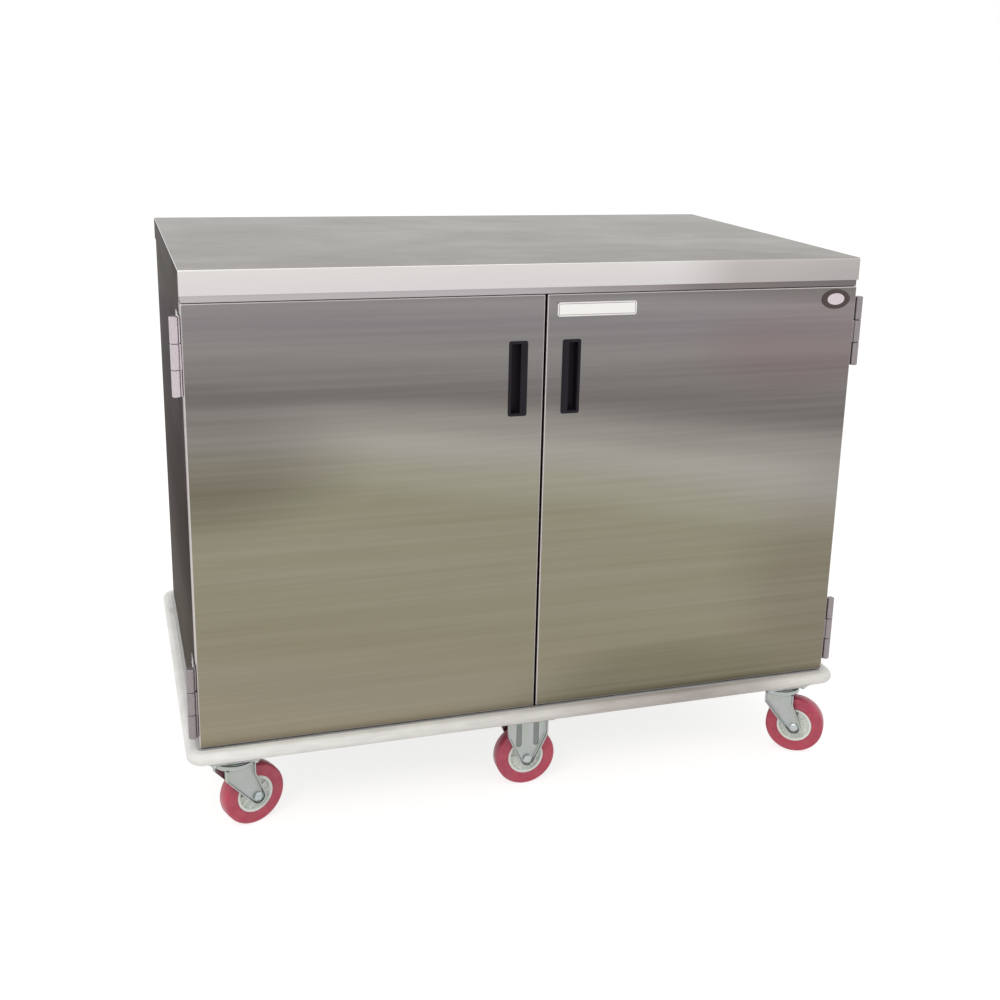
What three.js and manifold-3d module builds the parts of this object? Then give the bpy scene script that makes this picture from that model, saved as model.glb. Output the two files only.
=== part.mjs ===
// Enclosed meal tray cart: a two-door stainless steel cabinet on a six-wheel chassis.
// Millimetres. +X to the right, +Y to the back, +Z up. The origin is on the floor, under the middle
// of the bumper rectangle. The doors face -Y. The swivel casters stand as the cart last rolled.
import * as THREE from "three";
import { mergeVertices } from "three/addons/utils/BufferGeometryUtils.js";
import Module from "manifold-3d";

const wasm = await Module();
wasm.setup();

// ---------------------------------------------------------------- driving dimensions
const gap = 0.3; // clearance between pieces that seat on each other
const sheet = 1.5; // stainless sheet
const bendRadius = 3; // outside radius of a folded edge that shows

const bodyWidth = 1326; // over the side panels
const bodyDepth = 800; // door front to back of the side panels
const doorHeight = 845;
const doorThickness = 30;
const doorSplit = 4; // gap between the two doors
const doorLift = 2; // chassis top to door bottom
const doorHeadroom = 13; // door top to the deck's fascia
const fasciaHeight = 45;
const panelReturn = 25; // folded edge of the side panels, also the cabinet's front stile
const backReturn = 15;
const floorUpstand = 10; // stays under the tray racks
const headerDrop = 40; // how far the header reaches below the door top
const headerFlange = 20;
const partitionWidth = 60;

const casterHeight = 158; // floor to the top of a caster plate
const chassisHeight = 44;
const railHeight = 30; // perimeter rail, at the top of the chassis
const railDepth = 22;
const railSheet = 2.5;
const railSetback = 4; // rail behind the body's own faces
const crossWidth = 100; // channels that carry the casters
const crossSetback = 14;
const crossSheet = 3;
const bumperReach = 25; // bumper nose beyond the body
const bumperHeight = 26;
const channelSheet = 2;
const channelDepth = 10;
const cornerRadius = 3; // of the rail; the bumper's own reach adds to it

const wheelDiameter = 127;
const tyreWidth = 32;
const coreDiameter = 76;
const coreRim = 5.5; // radial thickness of the core's rim
const hubWidth = 38;
const hubDiameter = 30;
const coreWeb = 12;
const axleDiameter = 12;
const boreSlack = 0.5; // radial clearance of wheel, kingpin and hinge bores
const axleHead = 19; // across the corners
const axleHeadHeight = 5;
const swivelInset = [66, 50]; // kingpin from the body's side and front
const rigidInset = 62; // rigid caster's middle from the body's front
const trail = 36; // kingpin to axle
const swivelPlate = [92, 67]; // along X and Y
const rigidPlate = [98, 67];
const plateThickness = 4;
const raceDiameter = 68;
const raceHeight = 7;
const crownDiameter = 80;
const crownSheet = 4;
const crownDrop = 14.5; // plate underside to the crown's underside
const crownLip = 6.5;
const kingpinDiameter = 16;
const kingpinHead = 26;
const kingpinHeadHeight = 5;
const legSheet = 3;
const legFlange = 10; // leg's inner face to the rim of its folded edge
const legClearance = 1.5; // wheel hub to leg
const legFootRadius = 16;
const legShoulder = 118; // level from which a leg narrows to its foot
const swivelLegTop = 62; // width of a swivel fork's leg at the crown
const rigidLegTop = 86;
const leftTurn = 22; // degrees, how far the swivel casters at each end of the cart stand turned
const rightTurn = -35;

const hingeLength = 142;
const hingeInset = 22; // hinge end from the door's end
const barrelDiameter = 16;
const pinDiameter = 8;
const pivotOut = 11; // pivot axis beyond the side panel
const pivotIn = 6; // pivot axis behind the door's front
const leafSheet = 2.5;
const armSheet = 3.2; // the leaf's arms reach into the barrel
const armInset = 0.5; // door's edge to the arms
const leafWidth = 44; // body leaf, along the side panel
const knuckleShare = 46; // height of the door's own knuckle
const knuckleGap = 0.6;
const strapWidth = 26;

const pullWidth = 37;
const pullHeight = 145;
const pullDrop = 87; // door top to the pull's top
const pullInset = 53; // pull's middle from the door split's middle
const pullRim = 3.5; // flange around the pocket
const pullFlange = 1.2;
const pullDepth = 20;
const pullWall = 2;
const fingerLip = 8; // edge that the fingers hook behind
const lipThickness = 5;

const cardWidth = 160;
const cardHeight = 27;
const cardThickness = 1.2;
const cardInset = 22; // from the door split's middle
const cardDrop = 16; // from the door top
const cardRail = 2.5; // turned edge that holds the card
const badgeWidth = 64;
const badgeHeight = 40;
const badgeThickness = 1;
const badgeRim = 10;
const badgeInset = 47; // badge's middle from the body's side
const badgeDrop = 25; // badge's middle from the door top

const levels = 6;
const levelPitch = 133.35;
const firstLedge = 25; // first ledge above the floor pan
const ledgeWidth = 30;
const ledgeLeg = 14;
const ledgeSheet = 2;
const slideLength = 738;
const slideRoom = 6; // cabinet front to the slides
const stopWidth = 16; // bar behind the last tray, across the slides' back ends
const stopThickness = 5;
const postWidth = 40;
const postDepth = 30; // wall to the slides' faces; leaves room for trays 559 wide
const postInset = 110; // post's middle from either end of the slides
const postTopGap = 14;

const catchWidth = 60;
const catchHeight = 18;
const catchDepth = 16;
const catchInset = 40; // partition to the catch

// ---------------------------------------------------------------- derived levels and planes
const halfWidth = bodyWidth / 2;
const halfDepth = bodyDepth / 2;
const chassisTop = casterHeight + chassisHeight;
const doorBottom = chassisTop + doorLift;
const doorTop = doorBottom + doorHeight;
const fasciaBottom = doorTop + doorHeadroom;
const deckTop = fasciaBottom + fasciaHeight;
const underDeck = deckTop - sheet - gap;
const shellTop = underDeck - (bendRadius - sheet); // clear of the deck's folded edge
const cabinetFront = -halfDepth + doorThickness + gap;
const wallInner = halfWidth - sheet;
const floorBottom = chassisTop + gap + sheet + gap;
const floorTop = floorBottom + sheet;
const backOuter = halfDepth - sheet - gap;
const backInner = backOuter - sheet;
const backTop = shellTop - sheet - gap;
const floorBack = backOuter - backReturn - gap;
const floorLipTop = floorBottom + floorUpstand;
const headerBottom = doorTop - headerDrop;
const plateBottom = casterHeight - plateThickness;
const axleZ = wheelDiameter / 2;
const kingpinX = halfWidth - swivelInset[0];
const kingpinY = halfDepth - swivelInset[1];
const rigidY = halfDepth - rigidInset;
const legInner = hubWidth / 2 + legClearance;

// ---------------------------------------------------------------- materials
const metal = (color, roughness) => new THREE.MeshStandardMaterial({ color, roughness, metalness: 1 });
const plain = (color, roughness) => new THREE.MeshStandardMaterial({ color, roughness, metalness: 0 });
const stainless = metal(0x9d9a95, 0.35);
const stainlessInside = metal(0xa8a6a2, 0.45);
const zinc = metal(0xa9b0b2, 0.4);
const aluminium = metal(0xc9cac9, 0.4);
const vinyl = plain(0xd6d5d0, 0.55);
const polyurethane = plain(0xb23048, 0.45);
const whiteCore = plain(0xd9ddd8, 0.5);
const blackPlastic = plain(0x1d1a20, 0.5);
const cardWhite = plain(0xf1f0ef, 0.6);
const darkPlate = metal(0x5d5457, 0.4);

// ---------------------------------------------------------------- from geometry to solid and back
function solid(geometry) {
  const bare = new THREE.BufferGeometry();
  bare.setAttribute("position", geometry.getAttribute("position").clone());
  if (geometry.index) bare.setIndex(geometry.index.clone());
  const merged = mergeVertices(bare, 1e-4);
  const made = (triVerts) =>
    new wasm.Manifold(
      new wasm.Mesh({ numProp: 3, vertProperties: merged.attributes.position.array, triVerts }),
    );
  const triVerts = new Uint32Array(merged.index.array);
  const facing = made(triVerts);
  if (facing.volume() > 0) return facing;
  for (let i = 0; i < triVerts.length; i += 3) {
    [triVerts[i + 1], triVerts[i + 2]] = [triVerts[i + 2], triVerts[i + 1]];
  }
  return made(triVerts);
}

function geometryOf(body) {
  const { numProp, numVert, vertProperties, triVerts } = body.getMesh();
  const position = new Float32Array(numVert * 3);
  for (let i = 0; i < numVert; i++) {
    position.set(vertProperties.subarray(i * numProp, i * numProp + 3), i * 3);
  }
  const geometry = new THREE.BufferGeometry();
  geometry.setAttribute("position", new THREE.BufferAttribute(position, 3));
  geometry.setIndex(new THREE.BufferAttribute(new Uint32Array(triVerts), 1));
  geometry.computeVertexNormals();
  return geometry;
}

const join = (...bodies) => bodies.reduce((a, b) => a.add(b));
const cut = (body, ...tools) => tools.reduce((a, b) => a.subtract(b), body);

// A box from one corner to the other, in any order.
function box([x0, x1], [y0, y1], [z0, z1]) {
  const geometry = new THREE.BoxGeometry(Math.abs(x1 - x0), Math.abs(y1 - y0), Math.abs(z1 - z0));
  return solid(geometry.translate((x0 + x1) / 2, (y0 + y1) / 2, (z0 + z1) / 2));
}

// A turned solid about Y, or about Z where upright, from [radius, height] points.
function turned(points, segments, upright = false) {
  const geometry = new THREE.LatheGeometry(points.map(([r, h]) => new THREE.Vector2(r, h)), segments);
  return solid(upright ? geometry.rotateX(Math.PI / 2) : geometry);
}

const discProfile = (r, h0, h1) => [[0, h0], [r, h0], [r, h1], [0, h1]];

function outline(points) {
  return new THREE.Shape(points.map(([a, b]) => new THREE.Vector2(a, b)));
}

// An outline in X and Z, extruded along Y from y0 to y1.
function alongY(shape, y0, y1, curveSegments = 8) {
  const geometry = new THREE.ExtrudeGeometry(shape, { depth: y1 - y0, bevelEnabled: false, curveSegments });
  return solid(geometry.rotateX(Math.PI / 2).translate(0, y1, 0));
}

// An outline in X and Y, extruded up from z0 to z1.
function upZ(shape, z0, z1, curveSegments = 8) {
  const geometry = new THREE.ExtrudeGeometry(shape, { depth: z1 - z0, bevelEnabled: false, curveSegments });
  return solid(geometry.translate(0, 0, z0));
}

// A rounded rectangle of points, level at height z.
function roundedLoop(halfX, halfY, radius, z, steps) {
  const points = [];
  for (let corner = 0; corner < 4; corner++) {
    const cx = (corner === 0 || corner === 3 ? 1 : -1) * (halfX - radius);
    const cy = (corner < 2 ? 1 : -1) * (halfY - radius);
    for (let i = 0; i <= steps; i++) {
      const angle = ((corner + i / steps) * Math.PI) / 2;
      points.push([cx + radius * Math.cos(angle), cy + radius * Math.sin(angle), z]);
    }
  }
  return points;
}

// Skins a stack of loops. An endless stack joins its last loop to its first; another gets two flat ends.
function skin(loops, endless) {
  const count = loops[0].length;
  const index = [];
  const rows = endless ? loops.length : loops.length - 1;
  for (let row = 0; row < rows; row++) {
    const here = row * count;
    const next = ((row + 1) % loops.length) * count;
    for (let i = 0; i < count; i++) {
      const j = (i + 1) % count;
      index.push(here + i, here + j, next + j, here + i, next + j, next + i);
    }
  }
  if (!endless) {
    const last = (loops.length - 1) * count;
    for (let i = 1; i < count - 1; i++) index.push(0, i + 1, i, last, last + i, last + i + 1);
  }
  const geometry = new THREE.BufferGeometry();
  geometry.setAttribute("position", new THREE.Float32BufferAttribute(loops.flat(2), 3));
  geometry.setIndex(index);
  return geometry;
}

// A frame of one section, swept round a rectangle. The section is a list of [outward, height] points.
function perimeter(halfX, halfY, radius, section, steps = 4) {
  const loopAt = ([out, z]) => roundedLoop(halfX + out, halfY + out, Math.max(radius + out, 0.5), z, steps);
  return solid(skin(section.map(loopAt), true));
}

// A folded pan lying face up with its face at height 0: a sheet with its four edges turned down.
function pan({ width, length, depth, bend = bendRadius }) {
  const corner = bend + 0.3;
  const fold = (radius) =>
    [0, 45, 90]
      .map(THREE.MathUtils.degToRad)
      .map((angle) => [radius * Math.sin(angle) - bend, radius * Math.cos(angle) - bend]);
  const section = [
    ...fold(bend),
    [0, -depth],
    [-sheet, -depth],
    ...fold(bend - sheet).reverse(),
  ];
  return skin(
    section.map(([out, z]) => roundedLoop(width / 2 + out, length / 2 + out, corner + out, z, 2)),
    false,
  );
}

// ---------------------------------------------------------------- assembly helpers
const cart = new THREE.Group();
const part = (name, body, material, parent = cart) => {
  const mesh = new THREE.Mesh(geometryOf(body), material);
  mesh.name = name;
  parent.add(mesh);
  return mesh;
};
const sides = [["left", -1], ["right", 1]];
const ends = [["upper", 1], ["lower", -1]];

// ---------------------------------------------------------------- chassis and bumper
const railFace = [halfWidth - railSetback, halfDepth - railSetback, cornerRadius];

function chassis() {
  const railBottom = chassisTop - railHeight;
  const rail = perimeter(...railFace, [
    [0, railBottom], [0, chassisTop], [-railDepth, chassisTop], [-railDepth, chassisTop - railSheet],
    [-railSheet, chassisTop - railSheet], [-railSheet, railBottom],
  ]);
  const reach = halfDepth - crossSetback;
  const crossMembers = [-kingpinX, 0, kingpinX].map((x) =>
    cut(
      box([x - crossWidth / 2, x + crossWidth / 2], [-reach, reach], [casterHeight, chassisTop]),
      box(
        [x - crossWidth / 2 + crossSheet, x + crossWidth / 2 - crossSheet],
        [-reach + crossSheet, reach - crossSheet],
        [casterHeight + crossSheet, chassisTop + 1],
      ),
    ),
  );
  return join(rail, ...crossMembers);
}

const bumperTop = chassisTop;
const bumperBottom = bumperTop - bumperHeight;

function bumperChannel() {
  return perimeter(...railFace, [
    [gap, bumperBottom], [gap, bumperTop], [channelDepth, bumperTop],
    [channelDepth, bumperTop - channelSheet], [gap + channelSheet, bumperTop - channelSheet],
    [gap + channelSheet, bumperBottom + channelSheet],
    [channelDepth, bumperBottom + channelSheet], [channelDepth, bumperBottom],
  ]);
}

function bumperStrip() {
  const root = gap + channelSheet + gap;
  const nose = bumperReach + railSetback;
  const shoulder = channelDepth + gap;
  const neck = channelSheet + gap;
  const round = bumperHeight / 4;
  return perimeter(...railFace, [
    [root, bumperBottom + neck], [root, bumperTop - neck], [shoulder, bumperTop - neck],
    [shoulder, bumperTop], [nose - round, bumperTop], [nose - round / 3, bumperTop - round / 2],
    [nose, bumperTop - round * 1.5],
    [nose, bumperBottom + round * 1.5], [nose - round / 3, bumperBottom + round / 2],
    [nose - round, bumperBottom], [shoulder, bumperBottom], [shoulder, bumperBottom + neck],
  ]);
}

part("chassis", chassis(), stainlessInside);
part("bumper_channel", bumperChannel(), aluminium);
part("bumper_strip", bumperStrip(), vinyl);

// ---------------------------------------------------------------- cabinet shell
function sidePanel(side) {
  const height = shellTop - chassisTop - gap;
  const depth = halfDepth - cabinetFront;
  const panel = pan({ width: height, length: depth, depth: panelReturn });
  // The pan's face turns to look outwards, along side * X.
  panel.rotateY((side * Math.PI) / 2);
  const middle = chassisTop + gap + height / 2;
  return solid(panel.translate(side * halfWidth, (cabinetFront + halfDepth) / 2, middle));
}

function backPanel() {
  const height = backTop - floorBottom;
  const panel = pan({ width: 2 * (wallInner - gap), length: height, depth: backReturn });
  panel.rotateX(-Math.PI / 2);
  return solid(panel.translate(0, backOuter, floorBottom + height / 2));
}

function floorPan() {
  const front = cabinetFront + sheet + gap;
  const panel = pan({ width: 2 * (wallInner - gap), length: floorBack - front, depth: floorUpstand });
  panel.rotateX(Math.PI);
  return solid(panel.translate(0, (floorBack + front) / 2, floorBottom));
}

function topDeck() {
  const over = sheet + gap;
  const deck = pan({
    width: bodyWidth + 2 * over, length: bodyDepth + 2 * over, depth: fasciaHeight,
  });
  return solid(deck.translate(0, 0, deckTop));
}

function frontHeader() {
  const back = cabinetFront + headerFlange;
  const top = underDeck;
  const section = [
    [cabinetFront, headerBottom], [back, headerBottom], [back, headerBottom + sheet],
    [cabinetFront + sheet, headerBottom + sheet], [cabinetFront + sheet, top - sheet], [back, top - sheet],
    [back, top], [cabinetFront, top],
  ];
  const half = halfWidth - panelReturn - gap;
  const geometry = new THREE.ExtrudeGeometry(outline(section), { depth: 2 * half, bevelEnabled: false });
  // The section is drawn in Y and Z; these turns lay its length along X.
  geometry.rotateY(Math.PI / 2).rotateX(Math.PI / 2);
  return solid(geometry.translate(-half, 0, 0));
}

// The partition reaches into the header's channel and to the back panel. It is notched for the header's
// web and flanges, the floor pan's lips and the back panel's top return.
function centrePartition() {
  const half = partitionWidth / 2;
  const back = backInner - gap;
  const across = [-half - 1, half + 1];
  const section = outline([
    [-half, cabinetFront], [half, cabinetFront], [half, back], [half - sheet, back],
    [half - sheet, cabinetFront + sheet], [-half + sheet, cabinetFront + sheet], [-half + sheet, back],
    [-half, back],
  ]);
  const wall = upZ(section, floorTop + gap, underDeck);
  const webRoom = [[cabinetFront - 1, cabinetFront + sheet + gap], [headerBottom - gap, deckTop]];
  const flangeRooms = [headerBottom, underDeck - sheet].map((z) => [
    [cabinetFront - 1, cabinetFront + headerFlange + gap], [z - gap, z + sheet + gap],
  ]);
  const frontLipRoom = [
    [cabinetFront + sheet, cabinetFront + 2 * (sheet + gap) + bendRadius], [0, floorLipTop + gap],
  ];
  const rearLipRoom = [[floorBack - bendRadius - gap, back + 1], [0, floorLipTop + gap]];
  const returnRoom = [
    [backOuter - backReturn - gap, back + 1], [backTop - bendRadius - gap, deckTop],
  ];
  const rooms = [webRoom, ...flangeRooms, frontLipRoom, rearLipRoom, returnRoom];
  return cut(wall, ...rooms.map(([alongDepth, upward]) => box(across, alongDepth, upward)));
}

part("left_side_panel", sidePanel(-1), stainless);
part("right_side_panel", sidePanel(1), stainless);
part("back_panel", backPanel(), stainless);
part("floor_pan", floorPan(), stainlessInside);
part("top_deck", topDeck(), stainless);
part("front_header", frontHeader(), stainless);
part("centre_partition", centrePartition(), stainlessInside);

// ---------------------------------------------------------------- tray racks
const slideFront = cabinetFront + sheet + slideRoom;
const slideBack = slideFront + slideLength;

// One rack: two channel posts on a wall, an angle slide welded across them at each level, and an upright
// bar that joins the slides' back ends and stops the last tray. The wall stands at wallX, and facing is
// the way from the wall to the trays.
function trayRack(wallX, facing) {
  const face = wallX + facing * postDepth;
  const foot = wallX + facing * gap;
  const bottom = floorLipTop + 2;
  const top = underDeck - postTopGap;
  const inside = face - facing * sheet;
  const posts = [slideFront + postInset, slideBack - postInset].map((y) => {
    const a = y - postWidth / 2;
    const b = y + postWidth / 2;
    const channel = outline([
      [foot, a], [face, a], [face, b], [foot, b], [foot, b - sheet], [inside, b - sheet],
      [inside, a + sheet], [foot, a + sheet],
    ]);
    return upZ(channel, bottom, top);
  });
  const slides = Array.from({ length: levels }, (_, i) => {
    const z = floorTop + firstLedge + i * levelPitch;
    const y = [slideFront, slideBack];
    const leg = box([face - facing * 0.5, face + facing * ledgeSheet], y, [z - ledgeLeg, z]);
    const ledge = box([face, face + facing * ledgeWidth], y, [z - ledgeSheet, z]);
    return join(leg, ledge);
  });
  const barX = face + facing * (ledgeWidth - stopWidth);
  const bar = box(
    [barX, barX + facing * stopWidth], [slideBack - stopThickness, slideBack + 0.5], [bottom, top],
  );
  return join(...posts, ...slides, bar);
}

for (const [name, side] of sides) {
  part(`${name}_outer_tray_rack`, trayRack(side * wallInner, -side), stainlessInside);
  part(`${name}_inner_tray_rack`, trayRack((side * partitionWidth) / 2, side), stainlessInside);
}

// ---------------------------------------------------------------- magnet catches
for (const [name, side] of sides) {
  const x0 = side * (partitionWidth / 2 + catchInset);
  const top = headerBottom - gap;
  const housing = box(
    [x0, x0 + side * catchWidth], [cabinetFront, cabinetFront + catchDepth], [top - catchHeight, top],
  );
  part(`${name}_magnet_catch`, housing, blackPlastic);
}

// ---------------------------------------------------------------- doors
function pullOpening(middleX, bottom, height, margin, y0, y1) {
  return box(
    [middleX - pullWidth / 2 + margin, middleX + pullWidth / 2 - margin],
    [y0, y1],
    [bottom + margin, bottom + height - margin],
  );
}

function doorSkin(side) {
  const width = halfWidth - doorSplit / 2;
  const face = pan({ width, length: doorHeight, depth: doorThickness - gap });
  face.rotateX(Math.PI / 2);
  const middle = side * (doorSplit / 2 + width / 2);
  const skinBody = solid(face.translate(middle, -halfDepth, (doorTop + doorBottom) / 2));
  const bottom = doorTop - pullDrop - pullHeight;
  return cut(
    skinBody,
    pullOpening(side * pullInset, bottom, pullHeight, pullRim - gap, -halfDepth - 1, -halfDepth + sheet + 1),
  );
}

function doorLiner(side) {
  const inset = sheet + gap;
  const width = halfWidth - doorSplit / 2 - 2 * inset;
  const back = pan({ width, length: doorHeight - 2 * inset, depth: 12 });
  back.rotateX(-Math.PI / 2);
  const middle = side * (doorSplit / 2 + inset + width / 2);
  return solid(back.translate(middle, -halfDepth + doorThickness, (doorTop + doorBottom) / 2));
}

// A recessed pull: a flange, a pocket, and on the door's free side a lip that the fingers hook behind.
function doorPull(side) {
  const middle = side * pullInset;
  const bottom = doorTop - pullDrop - pullHeight;
  const front = -halfDepth - gap - pullFlange;
  const flange = pullOpening(middle, bottom, pullHeight, 0, front, -halfDepth - gap);
  const cupBack = -halfDepth + pullDepth;
  const cup = pullOpening(middle, bottom, pullHeight, pullRim, -halfDepth - gap - 0.2, cupBack);
  const pocketMargin = pullRim + pullWall;
  const pocket = pullOpening(middle, bottom, pullHeight, pocketMargin, front - 1, cupBack - pullWall);
  const lipEdge = middle - side * (pullWidth / 2 - pocketMargin);
  const lip = box(
    [lipEdge - side * 0.5, lipEdge + side * fingerLip],
    [front, front + lipThickness],
    [bottom + pocketMargin - 0.5, bottom + pullHeight - pocketMargin + 0.5],
  );
  return join(cut(join(flange, cup), pocket), lip);
}

for (const [name, side] of sides) {
  part(`${name}_door_skin`, doorSkin(side), stainless);
  part(`${name}_door_liner`, doorLiner(side), stainlessInside);
  part(`${name}_door_pull`, doorPull(side), blackPlastic);
}

// Card holder: a plate with its long edges turned over to hold a blank card.
function cardHolder() {
  const x0 = cardInset;
  const z1 = doorTop - cardDrop;
  const back = -halfDepth - gap;
  const front = back - cardThickness;
  const plate = box([x0, x0 + cardWidth], [front, back], [z1 - cardHeight, z1]);
  const window = box(
    [x0 - 1, x0 + cardWidth + 1],
    [front - 1, front + cardThickness / 3],
    [z1 - cardHeight + cardRail, z1 - cardRail],
  );
  return cut(plate, window);
}

// Bare oval badge: a raised rim around a plain field.
function ovalBadge() {
  const oval = (a, b) => new THREE.Shape().absellipse(0, 0, a, b, 0, 2 * Math.PI);
  const back = -halfDepth - gap;
  const front = back - badgeThickness;
  const plate = alongY(oval(badgeWidth / 2, badgeHeight / 2), front, back, 12);
  const field = alongY(
    oval(badgeWidth / 2 - badgeRim, badgeHeight / 2 - badgeRim), front - 1, front + badgeThickness / 2, 12,
  );
  return translated(cut(plate, field), halfWidth - badgeInset, 0, doorTop - badgeDrop);
}

function translated(body, x, y, z) {
  return solid(geometryOf(body).translate(x, y, z));
}

part("card_holder", cardHolder(), cardWhite);
part("oval_badge", ovalBadge(), darkPlate);

// ---------------------------------------------------------------- hinges
const pivotX = halfWidth + pivotOut;
const pivotY = -halfDepth + pivotIn;
const barrelR = barrelDiameter / 2;
const barrelSegments = 14;

function hingeMiddle(end) {
  const inset = hingeInset + hingeLength / 2;
  return end > 0 ? doorTop - inset : doorBottom + inset;
}

// The leaf on the cabinet: a plate on the side panel, two arms forward past the door's edge, two knuckles
// and the pin through all three.
function hingeLeaf(side, end) {
  const middle = hingeMiddle(end);
  const half = hingeLength / 2;
  const inner = side * (halfWidth + gap);
  const outer = side * (halfWidth + gap + leafSheet);
  const leafFront = -halfDepth + doorThickness + sheet;
  const plate = box([inner, outer], [leafFront, leafFront + leafWidth], [middle - half, middle + half]);
  const knuckleEnds = [1, -1].map((e) => [middle + e * half, middle + e * (knuckleShare / 2 + knuckleGap)]);
  const armInner = side * (halfWidth + armInset);
  const armX = [armInner, armInner + side * armSheet];
  const arms = knuckleEnds.map((z) => box(armX, [pivotY, leafFront + 1], z));
  const knuckles = knuckleEnds.map(([a, b]) =>
    turned(discProfile(barrelR, Math.min(a, b), Math.max(a, b)), barrelSegments, true),
  );
  const pin = turned(discProfile(pinDiameter / 2, middle - half, middle + half), 12, true);
  const barrel = translated(join(...knuckles, pin), side * pivotX, pivotY, 0);
  return join(plate, ...arms, barrel);
}

// The strap on the door's edge with the middle knuckle.
function hingeStrap(side, end) {
  const middle = hingeMiddle(end);
  const z = [middle - knuckleShare / 2, middle + knuckleShare / 2];
  const inner = side * (halfWidth + gap);
  const outer = side * (halfWidth + gap + leafSheet);
  const strapFront = pivotY - 4;
  const plate = box([inner, outer], [strapFront, strapFront + strapWidth], z);
  const web = box([outer - side * 0.5, side * pivotX], [pivotY - leafSheet, pivotY + leafSheet], z);
  const knuckle = turned(discProfile(barrelR, ...z), barrelSegments, true);
  const bore = turned(discProfile(pinDiameter / 2 + boreSlack, z[0] - 1, z[1] + 1), 16, true);
  const [knuckleAt, boreAt] = [knuckle, bore].map((b) => translated(b, side * pivotX, pivotY, 0));
  return cut(join(plate, web, knuckleAt), boreAt);
}

for (const [sideName, side] of sides) {
  for (const [endName, end] of ends) {
    part(`${sideName}_${endName}_hinge_leaf`, hingeLeaf(side, end), stainless);
    part(`${sideName}_${endName}_hinge_strap`, hingeStrap(side, end), stainless);
  }
}

// ---------------------------------------------------------------- wheels
function wheelCore() {
  const bore = axleDiameter / 2 + boreSlack;
  const hub = hubDiameter / 2;
  const rim = coreDiameter / 2;
  const rimHalf = tyreWidth / 2 - 1;
  const profile = [
    [bore, -hubWidth / 2], [hub, -hubWidth / 2], [hub, -coreWeb / 2], [rim - coreRim, -coreWeb / 2],
    [rim - coreRim, -rimHalf], [rim, -rimHalf], [rim, rimHalf], [rim - coreRim, rimHalf],
    [rim - coreRim, coreWeb / 2], [hub, coreWeb / 2], [hub, hubWidth / 2], [bore, hubWidth / 2],
    [bore, -hubWidth / 2],
  ];
  return turned(profile, 16);
}

function tyre() {
  const inner = coreDiameter / 2 + gap;
  const outer = wheelDiameter / 2;
  const half = tyreWidth / 2;
  const profile = [
    [inner, -half + 0.5], [outer - 6, -half], [outer, -half + 6], [outer, half - 6], [outer - 6, half],
    [inner, half - 0.5], [inner, -half + 0.5],
  ];
  return turned(profile, 32);
}

function axle() {
  const seat = legInner + legSheet + gap;
  const end = seat + axleHeadHeight;
  const shank = turned(discProfile(axleDiameter / 2, -end + 1, end - 1), 12);
  const head = turned(discProfile(axleHead / 2, -end, -seat), 6);
  const nut = turned(discProfile(axleHead / 2, seat, end), 6);
  return join(shank, head, nut);
}

// Three pieces of a wheel at (x, y); its axle goes to axleParent.
function wheelAt(name, x, y, parent) {
  const place = (mesh) => mesh.position.set(x, y, axleZ);
  place(part(`${name}_wheel_core`, wheelCore(), whiteCore, parent));
  place(part(`${name}_tyre`, tyre(), polyurethane, parent));
  place(part(`${name}_axle`, axle(), zinc, parent));
}

// ---------------------------------------------------------------- caster forks
// Angle on a circle at which a line from an outside point touches it.
function touchAngle(px, pz, cx, cz, radius, turn) {
  const dx = px - cx;
  const dz = pz - cz;
  return Math.atan2(dz, dx) + turn * Math.acos(radius / Math.hypot(dx, dz));
}

// A fork leg's outline in X and Z: upright sides from the top down to the shoulder, then straight ones
// that run in to a round foot at the axle.
function legShape(topWidth, top, footX, radius) {
  const half = topWidth / 2;
  const left = touchAngle(-half, legShoulder, footX, axleZ, radius, 1);
  const right = touchAngle(half, legShoulder, footX, axleZ, radius, -1);
  const shape = new THREE.Shape();
  shape.moveTo(half, legShoulder);
  shape.lineTo(half, top);
  shape.lineTo(-half, top);
  shape.lineTo(-half, legShoulder);
  shape.absarc(footX, axleZ, radius, left, right + 2 * Math.PI, false);
  shape.closePath();
  return shape;
}

// A pressed leg: sheet with its edges flanged outwards, on the side of the wheel that way points to.
function forkLeg(way, topWidth, top, footX) {
  const outer = legShape(topWidth, top, footX, legFootRadius);
  const inner = legShape(topWidth - 2 * legSheet, top, footX, legFootRadius - legSheet);
  const y = [legInner, legInner + legSheet, legInner + legFlange].map((v) => way * v);
  const span = (shape, a, b) => alongY(shape, Math.min(a, b), Math.max(a, b), 5);
  const hole = turned(discProfile(axleDiameter / 2 + gap, legInner - 1, legInner + legSheet + 1), 12);
  const bore = translated(way > 0 ? hole : mirroredY(hole), footX, 0, axleZ);
  return cut(span(outer, y[0], y[2]), span(inner, y[1], y[2] + way), bore);
}

function mirroredY(body) {
  return solid(geometryOf(body).scale(1, -1, 1));
}

function swivelPlateBody() {
  const plate = box(
    [-swivelPlate[0] / 2, swivelPlate[0] / 2],
    [-swivelPlate[1] / 2, swivelPlate[1] / 2],
    [plateBottom, casterHeight - gap],
  );
  const race = raceDiameter / 2;
  const raceBottom = plateBottom - raceHeight;
  const cup = turned(
    [
      [0, raceBottom], [race - 4, raceBottom], [race, raceBottom + 4], [race, plateBottom + 0.5],
      [0, plateBottom + 0.5],
    ],
    20,
    true,
  );
  const headTop = plateBottom - crownDrop - gap;
  const kingpin = turned(discProfile(kingpinDiameter / 2, headTop - 1, raceBottom + 1), 12, true);
  const head = turned(discProfile(kingpinHead / 2, headTop - kingpinHeadHeight, headTop), 12, true);
  return join(plate, cup, kingpin, head);
}

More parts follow.
